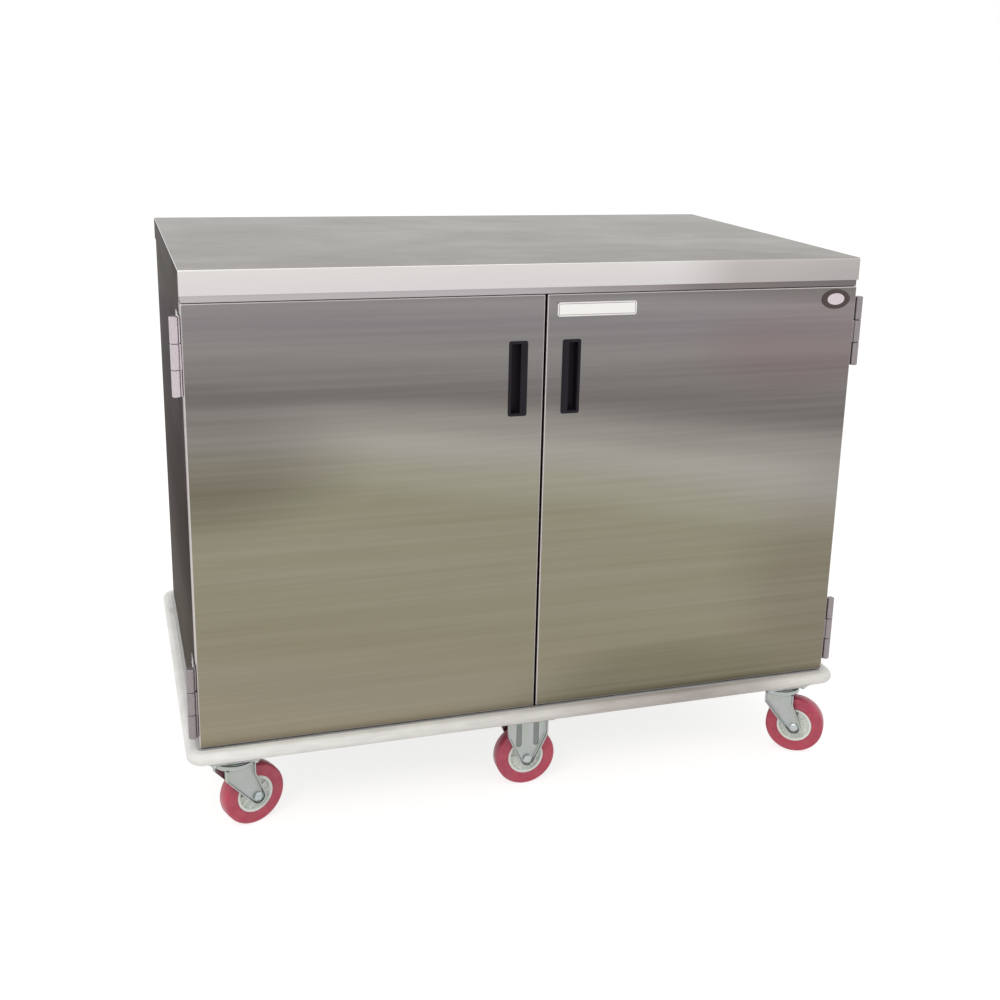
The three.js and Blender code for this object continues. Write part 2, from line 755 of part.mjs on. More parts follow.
function swivelFork() {
  const bottom = plateBottom - crownDrop;
  const bore = kingpinDiameter / 2 + boreSlack;
  const crown = crownDiameter / 2;
  const lip = raceDiameter / 2 + 3.5;
  const crownTop = bottom + crownSheet;
  const dish = turned(
    [
      [bore, bottom], [crown - 3, bottom], [crown, bottom + 3], [crown, crownTop + crownLip],
      [lip, crownTop + crownLip], [lip, crownTop], [bore, crownTop], [bore, bottom],
    ],
    20,
    true,
  );
  const legs = [-1, 1].map((way) => forkLeg(way, swivelLegTop, bottom + 1, trail));
  const kingpinRoom = turned(
    discProfile(kingpinHead / 2 + 1, bottom - kingpinHeadHeight - 3, bottom - 0.01), 12, true,
  );
  return join(dish, cut(join(...legs), kingpinRoom));
}

function rigidFork() {
  const plate = box(
    [-rigidPlate[0] / 2, rigidPlate[0] / 2],
    [-rigidPlate[1] / 2, rigidPlate[1] / 2],
    [plateBottom, casterHeight - gap],
  );
  const legs = [-1, 1].map((way) => forkLeg(way, rigidLegTop, plateBottom + 1, 0));
  return join(plate, ...legs);
}

const casterEnds = [["front", -1], ["rear", 1]];
for (const [endName, way] of casterEnds) {
  for (const [sideName, side] of sides) {
    const name = `${endName}_${sideName}`;
    const caster = new THREE.Group();
    caster.position.set(side * kingpinX, way * kingpinY, 0);
    cart.add(caster);
    part(`${name}_caster_plate`, swivelPlateBody(), zinc, caster);
    const swivel = new THREE.Group();
    swivel.rotation.z = THREE.MathUtils.degToRad(side > 0 ? rightTurn : leftTurn);
    caster.add(swivel);
    part(`${name}_fork`, swivelFork(), zinc, swivel);
    wheelAt(name, trail, 0, swivel);
  }
  const name = `${endName}_middle`;
  const rigid = new THREE.Group();
  rigid.position.set(0, way * rigidY, 0);
  cart.add(rigid);
  part(`${name}_fork`, rigidFork(), zinc, rigid);
  wheelAt(name, 0, 0, rigid);
}

export default cart;
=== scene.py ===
import math

import bmesh
import bpy
from mathutils import Matrix, Vector

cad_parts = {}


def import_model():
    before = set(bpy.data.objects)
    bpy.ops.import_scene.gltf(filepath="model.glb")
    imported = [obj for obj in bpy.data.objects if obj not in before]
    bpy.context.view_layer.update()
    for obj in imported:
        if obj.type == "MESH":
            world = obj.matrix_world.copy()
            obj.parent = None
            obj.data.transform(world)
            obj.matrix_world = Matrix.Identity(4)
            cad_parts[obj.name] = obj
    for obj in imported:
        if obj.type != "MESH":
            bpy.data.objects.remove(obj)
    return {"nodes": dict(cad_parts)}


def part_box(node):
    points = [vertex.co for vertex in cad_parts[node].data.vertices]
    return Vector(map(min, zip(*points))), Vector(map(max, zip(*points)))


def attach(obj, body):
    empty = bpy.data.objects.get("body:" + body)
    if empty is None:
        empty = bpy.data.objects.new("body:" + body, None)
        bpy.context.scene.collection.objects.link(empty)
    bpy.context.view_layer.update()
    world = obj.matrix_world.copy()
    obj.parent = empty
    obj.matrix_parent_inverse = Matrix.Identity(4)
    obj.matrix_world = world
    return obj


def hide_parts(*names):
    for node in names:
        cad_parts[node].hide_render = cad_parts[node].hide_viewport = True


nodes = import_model()["nodes"]
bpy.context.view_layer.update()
mm = 0.001  # places are in metres; the sizes in the dictionaries are in millimetres
sideNames = {"left": -1, "right": 1}
endNames = ("front", "rear")

camera = {
    "place": (-0.7921, -2.6915, 1.4495),
    "yaw": 18.9422,  # degrees to the right of straight at the doors
    "pitch": 15.6455,  # degrees down
    "roll": 1.7081,
    "focalLength": 47.1668,
    "shift": (-0.0399, -0.062),
}
room = {
    "floorColour": "#f4f3f1",
    "floorGlow": 0.76,  # what camera and mirror rays see on top of half of the floor's own light
    "floorSize": 60.0,
    "worldColour": "#ffffff",
    "worldStrength": 0.62,
}
lamps = {
    # place, what it points at, size, watts, colour
    "keySoftbox": ((-2.6, -3.2, 3.4), (0.0, 0.0, 0.6), (2.4, 1.8), 62.0, "#fffaf2"),
    "fillSoftbox": ((3.4, -2.6, 2.4), (0.2, 0.0, 0.5), (2.2, 2.2), 16.0, "#f3f5ff"),
    "ceilingPanel": ((0.2, 0.6, 4.2), (0.0, 0.0, 0.8), (3.6, 2.6), 34.0, "#ffffff"),
}


def linearColour(hexText):
    values = [int(hexText[i : i + 2], 16) / 255 for i in (1, 3, 5)]
    return [v / 12.92 if v <= 0.04045 else ((v + 0.055) / 1.055) ** 2.4 for v in values] + [1.0]


def setInputs(tree, node, inputs):
    for name, value in inputs.items():
        if isinstance(value, bpy.types.NodeSocket):
            tree.links.new(value, node.inputs[name])
        else:
            node.inputs[name].default_value = value


def addNode(tree, kind, inputs=None, **settings):
    node = tree.nodes.new(kind)
    for name, value in settings.items():
        setattr(node, name, value)
    setInputs(tree, node, inputs or {})
    return node


def placeCamera():
    yaw, pitch, roll = (math.radians(camera[k]) for k in ("yaw", "pitch", "roll"))
    forward = Vector((math.sin(yaw) * math.cos(pitch), math.cos(yaw) * math.cos(pitch), -math.sin(pitch)))
    level = Vector((math.cos(yaw), -math.sin(yaw), 0))
    right = level * math.cos(roll) + level.cross(forward) * math.sin(roll)
    up = right.cross(forward)
    data = bpy.data.cameras.new("photoCamera")
    data.lens = camera["focalLength"]
    data.sensor_width = 36
    data.shift_x, data.shift_y = camera["shift"]
    data.clip_end = 200
    shooter = bpy.data.objects.new("photoCamera", data)
    shooter.matrix_world = Matrix([(*axis, 0) for axis in zip(right, up, -forward)] + [(0, 0, 0, 1)])
    shooter.location = camera["place"]
    bpy.context.scene.collection.objects.link(shooter)
    bpy.context.scene.camera = shooter


def seenDirectly(tree):
    # 1 for rays from the camera and for those that a mirror or glass sends on
    ray = addNode(tree, "ShaderNodeLightPath")
    seen = ray.outputs["Is Camera Ray"]
    for name in ("Is Glossy Ray", "Is Transmission Ray"):
        either = addNode(tree, "ShaderNodeMath", {0: seen, 1: ray.outputs[name]}, operation="MAXIMUM")
        seen = either.outputs[0]
    return seen


def lightRoom():
    scene = bpy.context.scene
    scene.view_settings.view_transform = "Standard"
    world = bpy.data.worlds.new("studio")
    scene.world = world
    world.use_nodes = True
    tree = world.node_tree
    tree.nodes.clear()
    strength = addNode(tree, "ShaderNodeMapRange", {
        "Value": seenDirectly(tree), "To Min": room["worldStrength"], "To Max": 1.0})
    glow = addNode(tree, "ShaderNodeBackground", {
        "Color": linearColour(room["worldColour"]), "Strength": strength.outputs["Result"]})
    addNode(tree, "ShaderNodeOutputWorld", {"Surface": glow.outputs[0]})
    for name, (place, aim, size, watts, colour) in lamps.items():
        data = bpy.data.lights.new(name, "AREA")
        data.shape = "RECTANGLE"
        data.size, data.size_y = size
        data.energy = watts
        data.color = linearColour(colour)[:3]
        lamp = bpy.data.objects.new(name, data)
        lamp.location = place
        lamp.rotation_euler = (Vector(aim) - Vector(place)).to_track_quat("-Z", "Y").to_euler()
        scene.collection.objects.link(lamp)


def layFloor():
    half = room["floorSize"] / 2
    mesh = bpy.data.meshes.new("studioFloor")
    corners = [(-half, -half, 0), (half, -half, 0), (half, half, 0), (-half, half, 0)]
    mesh.from_pydata(corners, [], [(0, 1, 2, 3)])
    floor = bpy.data.objects.new("studioFloor", mesh)
    bpy.context.scene.collection.objects.link(floor)
    paint = bpy.data.materials.new("paleFloor")
    paint.use_nodes = True
    tree = paint.node_tree
    tree.nodes.clear()
    matt = addNode(tree, "ShaderNodeBsdfDiffuse", {"Color": linearColour(room["floorColour"])})
    seen = seenDirectly(tree)
    share = addNode(tree, "ShaderNodeMath", {0: seen, 1: 0.5}, operation="MULTIPLY")
    dimmed = addNode(tree, "ShaderNodeMixShader", {0: share.outputs[0], 1: matt.outputs[0]})
    glow = addNode(tree, "ShaderNodeMath", {0: seen, 1: room["floorGlow"]}, operation="MULTIPLY")
    lift = addNode(tree, "ShaderNodeEmission", {"Color": (1, 1, 1, 1), "Strength": glow.outputs[0]})
    both = addNode(tree, "ShaderNodeAddShader", {0: dimmed.outputs[0], 1: lift.outputs[0]})
    addNode(tree, "ShaderNodeOutputMaterial", {"Surface": both.outputs[0]})
    mesh.materials.append(paint)


# A finish has a ground tone or bands, tints that noise lays under and over its washes, a roughness and a
# relief. The noise is given by its widths along x, y and z in millimetres, its detail and its coarseness.
noiseRange = {"From Min": 0.3, "From Max": 0.7}  # the noise seldom leaves it


def toneAlong(tree, value, stops):
    # stops: (place in metres, tone) in rising order
    first, last = stops[0][0], stops[-1][0]
    share = addNode(tree, "ShaderNodeMapRange", {"Value": value, "From Min": first, "From Max": last})
    ramp = addNode(tree, "ShaderNodeValToRGB", {0: share.outputs["Result"]})
    elements = ramp.color_ramp.elements
    ramp.color_ramp.interpolation = "EASE"
    while len(elements) < len(stops):
        elements.new(0.5)
    for element, (at, tone) in zip(elements, stops):
        element.position = (at - first) / (last - first)
        element.color = linearColour(tone)
    return ramp.outputs["Color"]


def bandedTone(tree, place, drift, look):
    # slow changes of tone up a wide sheet; the bands may lean, low and high ones by slopes of their own
    # here the bands are painted reflections, highlights and shade
    axes = addNode(tree, "ShaderNodeSeparateXYZ", {0: place}).outputs
    height = axes["Z"]
    if "lean" in look:
        axis, start, heights, slopes = look["lean"]
        slope = addNode(tree, "ShaderNodeMapRange", {
            "Value": axes["Z"], "From Min": heights[0], "From Max": heights[1],
            "To Min": slopes[0], "To Max": slopes[1]})
        run = addNode(tree, "ShaderNodeMath", {0: axes[axis], 1: start}, operation="SUBTRACT")
        height = addNode(tree, "ShaderNodeMath", {0: run.outputs[0], 1: slope.outputs["Result"], 2: height},
                         operation="MULTIPLY_ADD").outputs[0]
    wander = addNode(tree, "ShaderNodeMapRange", {
        "Value": drift, "To Min": -look["drift"], "To Max": look["drift"], **noiseRange})
    height = addNode(tree, "ShaderNodeMath", {0: height, 1: wander.outputs["Result"]}, operation="ADD")
    return toneAlong(tree, height.outputs[0], look["bands"])


def washes(tree, place, look):
    # tones that multiply the ground: one that changes along the cart, and soft round patches
    # here both are painted highlights, shade and reflections
    laid = []
    if "across" in look:
        along = addNode(tree, "ShaderNodeSeparateXYZ", {0: place}).outputs["X"]
        laid.append((1.0, toneAlong(tree, along, look["across"])))
    for middle, radii, shade in look.get("patches", ()):
        scale = [1 / r for r in radii]
        reach = addNode(tree, "ShaderNodeMapping", {
            "Vector": place, "Location": [-m * k for m, k in zip(middle, scale)], "Scale": scale})
        reach = addNode(tree, "ShaderNodeVectorMath", {0: reach.outputs[0]}, operation="LENGTH")
        share = addNode(tree, "ShaderNodeMapRange", {
            "Value": reach.outputs["Value"], "From Min": 0.35, "From Max": 1.0, "To Min": 1.0, "To Max": 0.0},
            interpolation_type="SMOOTHSTEP")
        laid.append((share.outputs["Result"], linearColour(shade)))
    return laid


def layTints(tree, tone, noise, tints):
    # tints: (noise, share where it is highest, tint), then the noise's range where it isn't the usual one
    for key, most, tint, *reach in tints:
        limits = dict(zip(noiseRange, reach)) or noiseRange
        share = addNode(tree, "ShaderNodeMapRange", {"Value": noise[key], "To Max": most, **limits})
        tone = addNode(tree, "ShaderNodeMix", {0: share.outputs["Result"], 6: tone, 7: linearColour(tint)},
                       data_type="RGBA").outputs[2]
    return tone


def makeFinish(name, look):
    made = bpy.data.materials.new(name)
    made.use_nodes = True
    tree = made.node_tree
    place = addNode(tree, "ShaderNodeTexCoord").outputs["Object"]
    noise = {}
    for key, (widths, detail, coarseness) in look["noise"].items():
        scale = [1 / (width * mm) for width in widths]
        scaled = addNode(tree, "ShaderNodeMapping", {"Vector": place, "Scale": scale}).outputs[0]
        noise[key] = addNode(tree, "ShaderNodeTexNoise", {
            "Vector": scaled, "Scale": 1.0, "Detail": detail, "Roughness": coarseness}).outputs["Fac"]
    tone = bandedTone(tree, place, noise["drift"], look) if "bands" in look else linearColour(look["tone"])
    tone = layTints(tree, tone, noise, look.get("under", ()))
    for share, wash in washes(tree, place, look):
        tone = addNode(tree, "ShaderNodeMix", {0: share, 6: tone, 7: wash}, data_type="RGBA",
                       blend_type="MULTIPLY").outputs[2]
    sockets = {"Base Color": layTints(tree, tone, noise, look["over"]), **look["sockets"]}
    if "roughness" in look:
        key, low, high = look["roughness"]
        rough = addNode(tree, "ShaderNodeMapRange", {
            "Value": noise[key], "To Min": low, "To Max": high, **noiseRange})
        sockets["Roughness"] = rough.outputs["Result"]
    key, strength, depth = look["relief"]
    sockets["Normal"] = addNode(tree, "ShaderNodeBump", {
        "Height": noise[key], "Strength": strength, "Distance": depth * mm}).outputs[0]
    setInputs(tree, tree.nodes["Principled BSDF"], sockets)
    return made


grain = {
    "width": 1.6,  # belt lines on number 4 stainless are about 0.2 mm; drawn coarser so that they show
    "length": 140.0,
}


def brushedSheet(axis, roughness, look, contrast=0.16, bloom=0.08, relief=0.18, **sockets):
    # 304 sheet with a number 4 belt finish: lines all one way, and highlights that smear across them
    lines = [grain["length"] if letter == axis else grain["width"] for letter in "XYZ"]
    noise = {"lines": (lines, 4, 0.7), "soft": ([6 * width for width in lines], 2, 0.6),
             "smudge": ((210, 160, 130), 3, 0.6)}
    if "bands" in look:
        noise["drift"] = ((700, 400, 240), 1, 0.6)
    return {"noise": noise, "over": [("lines", contrast, "#3f3f3f"), ("soft", bloom, "#ededed")],
            "roughness": ("smudge", roughness - 0.03, roughness + 0.06), "relief": ("lines", relief, 0.25),
            "sockets": {"Metallic": 1.0, **sockets}, **look}


def zincPlate(tone, green, pink):
    # electroplated steel with a clear chromate: bluish grey, with faint green and pink where it pooled
    return {"noise": {"cloud": ((26, 26, 34), 2, 0.6), "pool": ((9, 9, 12), 3, 0.6),
                      "fine": ((1.5, 1.5, 1.5), 3, 0.6)},
            "tone": tone, "over": [("cloud", 1.0, green), ("pool", 0.55, pink)],
            "roughness": ("pool", 0.26, 0.46), "relief": ("fine", 0.12, 0.2), "sockets": {"Metallic": 1.0}}


def satinMetal(tone, shade, roughness):
    # extruded or turned metal: a fine even finish and a soft highlight
    return {"noise": {"fine": ((3, 3, 3), 4, 0.6)}, "tone": tone, "over": [("fine", 1.0, shade)],
            "roughness": ("fine", roughness - 0.04, roughness + 0.05), "relief": ("fine", 0.1, 0.15),
            "sockets": {"Metallic": 1.0}}


def mouldedPlastic(tone, shade, grit, roughness, relief, ior=1.53, gloss=0.5):
    # injection moulded: one colour through the wall, a fine spark-eroded texture and a soft sheen
    return {"noise": {"grit": ((grit, grit, grit), 3, 0.6), "cloud": ((45, 45, 45), 2, 0.6)}, "tone": tone,
            "over": [("cloud", 1.0, shade)], "roughness": ("grit", roughness - 0.05, roughness + 0.08),
            "relief": ("grit", relief, 0.3), "sockets": {"IOR": ior, "Specular IOR Level": gloss}}


# painted reflections: the door bands and patches below are reflections laid into the colour
# the doors: bands by their height at the left edge, and patches as middle, radii and the tone over them
doorPaintedReflectionBands = [
    (0.204, "#908773"), (0.34, "#8a8371"), (0.46, "#85806b"), (0.58, "#888471"), (0.70, "#86836f"),
    (0.755, "#928f7f"), (0.805, "#99978f"), (0.843, "#8c8882"), (0.888, "#6f6a67"), (0.925, "#787472"),
    (0.965, "#827e7c"), (1.010, "#807c7d"), (1.052, "#898585"), (1.085, "#777270"), (1.140, "#746e6b"),
]
doorPaintedReflectionPatches = [
    ((0.28, -0.4, 0.225), (0.40, 9.0, 0.115), "#dde0d8"),
    ((-0.70, -0.4, 0.755), (0.42, 9.0, 0.17), "#d4d0d2"),
    ((0.70, -0.4, 0.42), (0.34, 9.0, 0.34), "#ece6ea"),
    ((0.56, -0.4, 0.93), (0.32, 9.0, 0.13), "#fff0f1"),  # a faint pink painted reflection near the plate
]
# the sides: painted shade, as bands by their height at the front edge
sidePaintedShadeBands = [
    (0.204, "#8c857d"), (0.40, "#857d76"), (0.52, "#756c67"), (0.62, "#6f6562"), (0.72, "#776f6c"),
    (0.84, "#837b7a"), (0.93, "#888082"), (1.00, "#8b8587"), (1.06, "#96928f"),
]
# the apron and the strip under it: painted highlight, brightest at the left end
nosingPaintedHighlightTones = [(-0.663, "#ffffff"), (0.239, "#fcfcfc"), (0.424, "#d6d3d1"), (0.663, "#cccac8")]
nosePaintedLightTones = [(-0.663, "#ffffff"), (-0.066, "#f4f4f4"), (0.159, "#d6d2d0"), (0.345, "#aaa6a2"),
             (0.663, "#a09c98")]
# the bumper: painted shade, greyest right of the middle
bumperPaintedShadeTones = [(-0.688, "#ffffff"), (-0.275, "#f6f5f3"), (-0.028, "#e9e7e5"), (0.179, "#cec7c4"),
               (0.344, "#b9b1ad"), (0.468, "#c9c3c0"), (0.592, "#f0ede9"), (0.688, "#f6f4f1")]

looks = {
    # the doors: painted reflections in the bands, their lean and the patches
    "doorPaintedReflections": ("stainlessDoorsPaintedReflections", brushedSheet("X", 0.34, {
        "bands": doorPaintedReflectionBands, "drift": 0.012, "lean": ("X", -0.64, (0.60, 0.88), (0.150, 0.035)),
        "patches": doorPaintedReflectionPatches}, contrast=0.055, bloom=0.04, relief=0.1)),
    "deckStainless": ("brushedStainlessDeck", brushedSheet("X", 0.36, {
        "tone": "#8a857f", "under": [("smudge", 1.0, "#837f79")]}, contrast=0.06, bloom=0.05, relief=0.1)),
    # the apron: a painted highlight
    "nosingPaintedHighlight": ("stainlessNosingPaintedHighlight", brushedSheet("X", 0.34, {
        "bands": [(1.06, "#d6d2d2"), (1.107, "#dcd8d6")], "drift": 0.01, "across": nosingPaintedHighlightTones},
        contrast=0.05, bloom=0.03, relief=0.1)),
    # the strip under the apron: painted highlight and shade
    "nosePaintedLight": ("stainlessNosePaintedLight", brushedSheet("X", 0.36, {
        "bands": [(1.05, "#b4afb1"), (1.1, "#b8b3b4")], "drift": 0.01, "across": nosePaintedLightTones},
        contrast=0.05, bloom=0.03, relief=0.1)),
    # painted shade in the bands; the dark tint is what the sheet shows when it is seen almost along its face
    "sidePaintedShade": ("stainlessSidesPaintedShade", brushedSheet("Y", 0.42, {
        "bands": sidePaintedShadeBands, "drift": 0.015, "lean": ("Y", -0.37, (0.3, 1.0), (0.05, 0.12))},
        contrast=0.08, bloom=0.04, relief=0.12, **{"Specular Tint": linearColour("#141010")})),
    "backStainless": ("brushedStainlessBack", brushedSheet("X", 0.36, {
        "tone": "#9a9590", "under": [("smudge", 1.0, "#8d8883")]})),
    # left as it came from the mill: duller, with hardly any lines
    "millStainless": ("millFinishStainless", brushedSheet("Z", 0.42, {
        "tone": "#a9a7a3", "under": [("smudge", 1.0, "#9b9894")]}, contrast=0.06, relief=0.06)),
    # a brighter copy of the door steel: a painted highlight on the folds
    "foldPaintedHighlight": ("stainlessFoldPaintedHighlight", satinMetal("#c9c2c3", "#b9b3b3", 0.34)),
    "zinc": ("brightZincPlate", zincPlate("#aab2b3", "#9fae9f", "#bfb0b8")),
    # zinc darkened as painted shade, for the leg ribs
    "zincPaintedShade": ("zincRibsPaintedShade", zincPlate("#7e8582", "#74807a", "#878082")),
    "hinge": ("stainlessHingeStock", satinMetal("#9a9294", "#857e80", 0.34)),
    # the same hinge stock made brighter: a painted highlight
    "hingePaintedHighlight": ("hingeStockPaintedHighlight", satinMetal("#cec4c8", "#bab0b5", 0.26)),
    "channel": ("satinAluminium", satinMetal("#dddedd", "#cfd0cf", 0.6)),
    "bolt": ("zincBoltSteel", satinMetal("#c3c9cb", "#aab2b2", 0.26)),
    "plateRim": ("darkNickelRim", satinMetal("#5b5250", "#4a423f", 0.32)),
    # the field is brightened by a painted reflection
    "plateField": ("nickelFieldPaintedReflection", satinMetal("#d9ccd1", "#c9bdc3", 0.3)),
    # extruded PVC: waxy light grey with long dark rubs from door frames, and painted shade along the cart
    "vinyl": ("lightGreyVinyl", {
        "noise": {"rub": ((170, 170, 5), 4, 0.7), "wax": ((60, 60, 9), 2, 0.6)}, "tone": "#f7f7f5",
        "under": [("wax", 1.0, "#e8e8e6")], "across": bumperPaintedShadeTones,
        "over": [("rub", 0.45, "#97938e", 0.62, 0.74)], "roughness": ("wax", 0.36, 0.5),
        "relief": ("rub", 0.15, 0.4), "sockets": {"IOR": 1.53}}),
    # cast polyurethane tread: glossy red, dulled and dusty where it rolls
    "tread": ("redPolyurethaneTread", {
        "noise": {"dust": ((14, 14, 14), 4, 0.6), "swirl": ((40, 40, 40), 2, 0.6),
                  "fine": ((1.8, 1.8, 1.8), 2, 0.6)},
        "tone": "#c03552", "over": [("swirl", 1.0, "#a9284a"), ("dust", 0.22, "#c98a90")],
        "roughness": ("dust", 0.3, 0.52), "relief": ("fine", 0.1, 0.3),
        "sockets": {"IOR": 1.5, "Coat Weight": 0.25, "Coat Roughness": 0.25}}),
    # uncoated white card: flat white, with its fibres just raised
    "card": ("whiteCardStock", {
        "noise": {"fibre": ((2.2, 2.2, 1.2), 4, 0.6)}, "tone": "#ffffff", "over": [("fibre", 1.0, "#f9f7f6")],
        "relief": ("fibre", 0.12, 0.1), "sockets": {"Roughness": 0.75}}),
    "core": ("offWhiteNylonCore", mouldedPlastic("#f3f6f2", "#e4ebe5", grit=1.2, roughness=0.45, relief=0.1)),
    "pull": ("blackAbsPull", mouldedPlastic("#1a131f", "#120d16", grit=0.9, roughness=0.55, relief=0.16,
                                            ior=1.5, gloss=0.22)),
    "holder": ("whiteStyreneHolder", mouldedPlastic("#faf8f8", "#f2f0f0", grit=1.5, roughness=0.4,
                                                    relief=0.06, ior=1.55)),
    # grey back: painted shadow round the card
    "holderPaintedShadow": ("styreneBackPaintedShadow", mouldedPlastic("#9b9898", "#8e8b8b", grit=1.5, roughness=0.45,
                                                       relief=0.06, ior=1.55)),
    "magnet": ("ferriteMagnet", mouldedPlastic("#2b2a2c", "#222123", grit=0.7, roughness=0.6,
                                               relief=0.2, ior=1.6)),
}
finishes = {key: makeFinish(*made) for key, made in looks.items()}


def linkObject(name, mesh, material=None):
    piece = bpy.data.objects.new(name, mesh)
    bpy.context.scene.collection.objects.link(piece)
    if material:
        mesh.materials.clear()
        mesh.materials.append(finishes[material])
    return piece


def finishPiece(piece, body, replaced=None, smoothAngle=32):
    mesh = piece.data
    mesh.polygons.foreach_set("use_smooth", [True] * len(mesh.polygons))
    mesh.set_sharp_from_angle(angle=math.radians(smoothAngle))
    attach(piece, body)
    if replaced:
        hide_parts(replaced)
    return piece


def addPiece(name, mesh, material, body, replaced=None, smoothAngle=32):
    finishPiece(linkObject(name, mesh, material), body, replaced, smoothAngle)


def bakeModifiers(piece):
    evaluated = piece.evaluated_get(bpy.context.evaluated_depsgraph_get())
    before, baked = piece.data, bpy.data.meshes.new_from_object(evaluated)
    piece.modifiers.clear()
    piece.data = baked
    bpy.data.meshes.remove(before)


def roundedLoop(halfX, halfY, radius, steps=6):
    points = []
    for corner in range(4):
        cx = (halfX - radius) * (1 if corner in (0, 3) else -1)
        cy = (halfY - radius) * (1 if corner < 2 else -1)
        points += arcPoints(cx, cy, radius, 90 * corner, 90 * (corner + 1), steps)
    return points


def arcPoints(cx, cy, radius, start, end, steps):
    angles = [math.radians(start + (end - start) * i / steps) for i in range(steps + 1)]
    return [(cx + radius * math.cos(a), cy + radius * math.sin(a)) for a in angles]


def meshOf(shape):
    mesh = bpy.data.meshes.new("shape")
    shape.to_mesh(mesh)
    shape.free()
    return mesh


def loopMesh(loops, endless=False):
    # joins a stack of loops of equal length; an open stack gets a flat face at each end
    count = len(loops[0])
    faces = []
    for row in range(len(loops) if endless else len(loops) - 1):
        here, there = row * count, (row + 1) % len(loops) * count
        for i in range(count):
            j = (i + 1) % count
            faces.append((here + i, here + j, there + j, there + i))
    if not endless:
        faces += [tuple(range(count)), tuple(range((len(loops) - 1) * count, len(loops) * count))]
    skin = bpy.data.meshes.new("skin")
    skin.from_pydata([tuple(p) for loop in loops for p in loop], [], faces)
    shape = bmesh.new()
    shape.from_mesh(skin)
    bpy.data.meshes.remove(skin)
    bmesh.ops.remove_doubles(shape, verts=shape.verts, dist=1e-6)
    bmesh.ops.recalc_face_normals(shape, faces=shape.faces)
    return meshOf(shape)


def latheMesh(profile, segments, closed=False, axis="Z"):
    # turns (radius, height) points in millimetres about an axis; a closed profile makes a ring
    angles = [2 * math.pi * i / segments for i in range(segments)]
    loops = [[(r * mm * math.cos(a), r * mm * math.sin(a), h * mm) for a in angles] for r, h in profile]
    mesh = loopMesh(loops, closed)
    if axis == "Y":
        mesh.transform(Matrix.Rotation(math.radians(-90), 4, "X"))
    return mesh


def joinMeshes(meshes):
    shape = bmesh.new()
    for mesh in meshes:
        shape.from_mesh(mesh)
        bpy.data.meshes.remove(mesh)
    return meshOf(shape)


def softBox(low, high, radius, segments=2):
    # a block between two corners in metres, with edges rounded by a radius in millimetres
    shape = bmesh.new()
    bmesh.ops.create_cube(shape, size=1)
    low, high = Vector(map(min, low, high)), Vector(map(max, low, high))
    size = high - low
    for v in shape.verts:
        v.co = Vector((v.co[k] * size[k] + (low[k] + high[k]) / 2 for k in range(3)))
    bmesh.ops.bevel(shape, geom=shape.edges[:], offset=min(radius * mm, min(size) * 0.45), segments=segments,
                    affect="EDGES", profile=0.5)
    return meshOf(shape)


def metres(sizes, *keys):
    return [sizes[key] * mm for key in keys]


def placed(mesh, place, turn=0.0):
    mesh.transform(Matrix.Translation(place) @ Matrix.Rotation(turn, 4, "Z"))
    return mesh


def softened(node, body, material, width=0.4, segments=2):
    # the node's own faces, merged into plain panels, with their sharp edges broken
    shape = bmesh.new()
    shape.from_mesh(nodes[node].data)
    bmesh.ops.remove_doubles(shape, verts=shape.verts, dist=1e-5)
    bmesh.ops.dissolve_limit(shape, angle_limit=math.radians(1), verts=shape.verts, edges=shape.edges)
    piece = linkObject(f"{node}_sheet", meshOf(shape), material)
    bevel = piece.modifiers.new("softEdge", "BEVEL")
    bevel.width = width * mm
    bevel.segments = segments
    bevel.limit_method = "ANGLE"
    bevel.angle_limit = math.radians(35)
    bevel.use_clamp_overlap = True
    bakeModifiers(piece)
    finishPiece(piece, body, node, 50)


def startTree(name, inputs, output):
    tree = bpy.data.node_groups.new(name, "GeometryNodeTree")
    for label, kind in inputs.items():
        tree.interface.new_socket(label, in_out="INPUT", socket_type=f"NodeSocket{kind}")
    tree.interface.new_socket(output, in_out="OUTPUT", socket_type="NodeSocketGeometry")
    return tree, addNode(tree, "NodeGroupInput").outputs


def endTree(tree, geometry, finish, output):
    solid = addNode(tree, "GeometryNodeRealizeInstances", {"Geometry": geometry})
    dressed = addNode(tree, "GeometryNodeSetMaterial", {
        "Geometry": solid.outputs["Geometry"], "Material": finish})
    addNode(tree, "NodeGroupOutput", {output: dressed.outputs["Geometry"]})
    return tree


def applyTree(piece, tree, values):
    modifier = piece.modifiers.new(tree.name, "NODES")
    modifier.node_group = tree
    for item in tree.interface.items_tree:
        if item.in_out == "INPUT" and item.name in values:
            modifier[item.identifier] = values[item.name]
    bakeModifiers(piece)


def fastenerTree():
    # a head on every point, turned to the way that the point faces
    tree, given = startTree("fastenerRows", {
        "Places": "Geometry", "Head": "Object", "Size": "Float", "Finish": "Material"}, "Rows")
    head = addNode(tree, "GeometryNodeObjectInfo", {"Object": given["Head"]}, transform_space="ORIGINAL")
    facing = addNode(tree, "GeometryNodeInputNamedAttribute", {"Name": "facing"}, data_type="FLOAT_VECTOR")
    turn = addNode(tree, "FunctionNodeAlignRotationToVector", {
        "Vector": facing.outputs["Attribute"]}, axis="Z")
    rows = addNode(tree, "GeometryNodeInstanceOnPoints", {
        "Points": given["Places"], "Instance": head.outputs["Geometry"], "Rotation": turn.outputs["Rotation"],
        "Scale": given["Size"]})
    return endTree(tree, rows.outputs["Instances"], given["Finish"], "Rows")


rowTree = fastenerTree()
rivetHead = {"radius": 3.2, "height": 1.1, "sunk": 0.3, "segments": 14}
boltHead = {"across": 12.8, "height": 5.2, "washerRadius": 8.2, "washer": 1.3, "chamfer": 0.9}


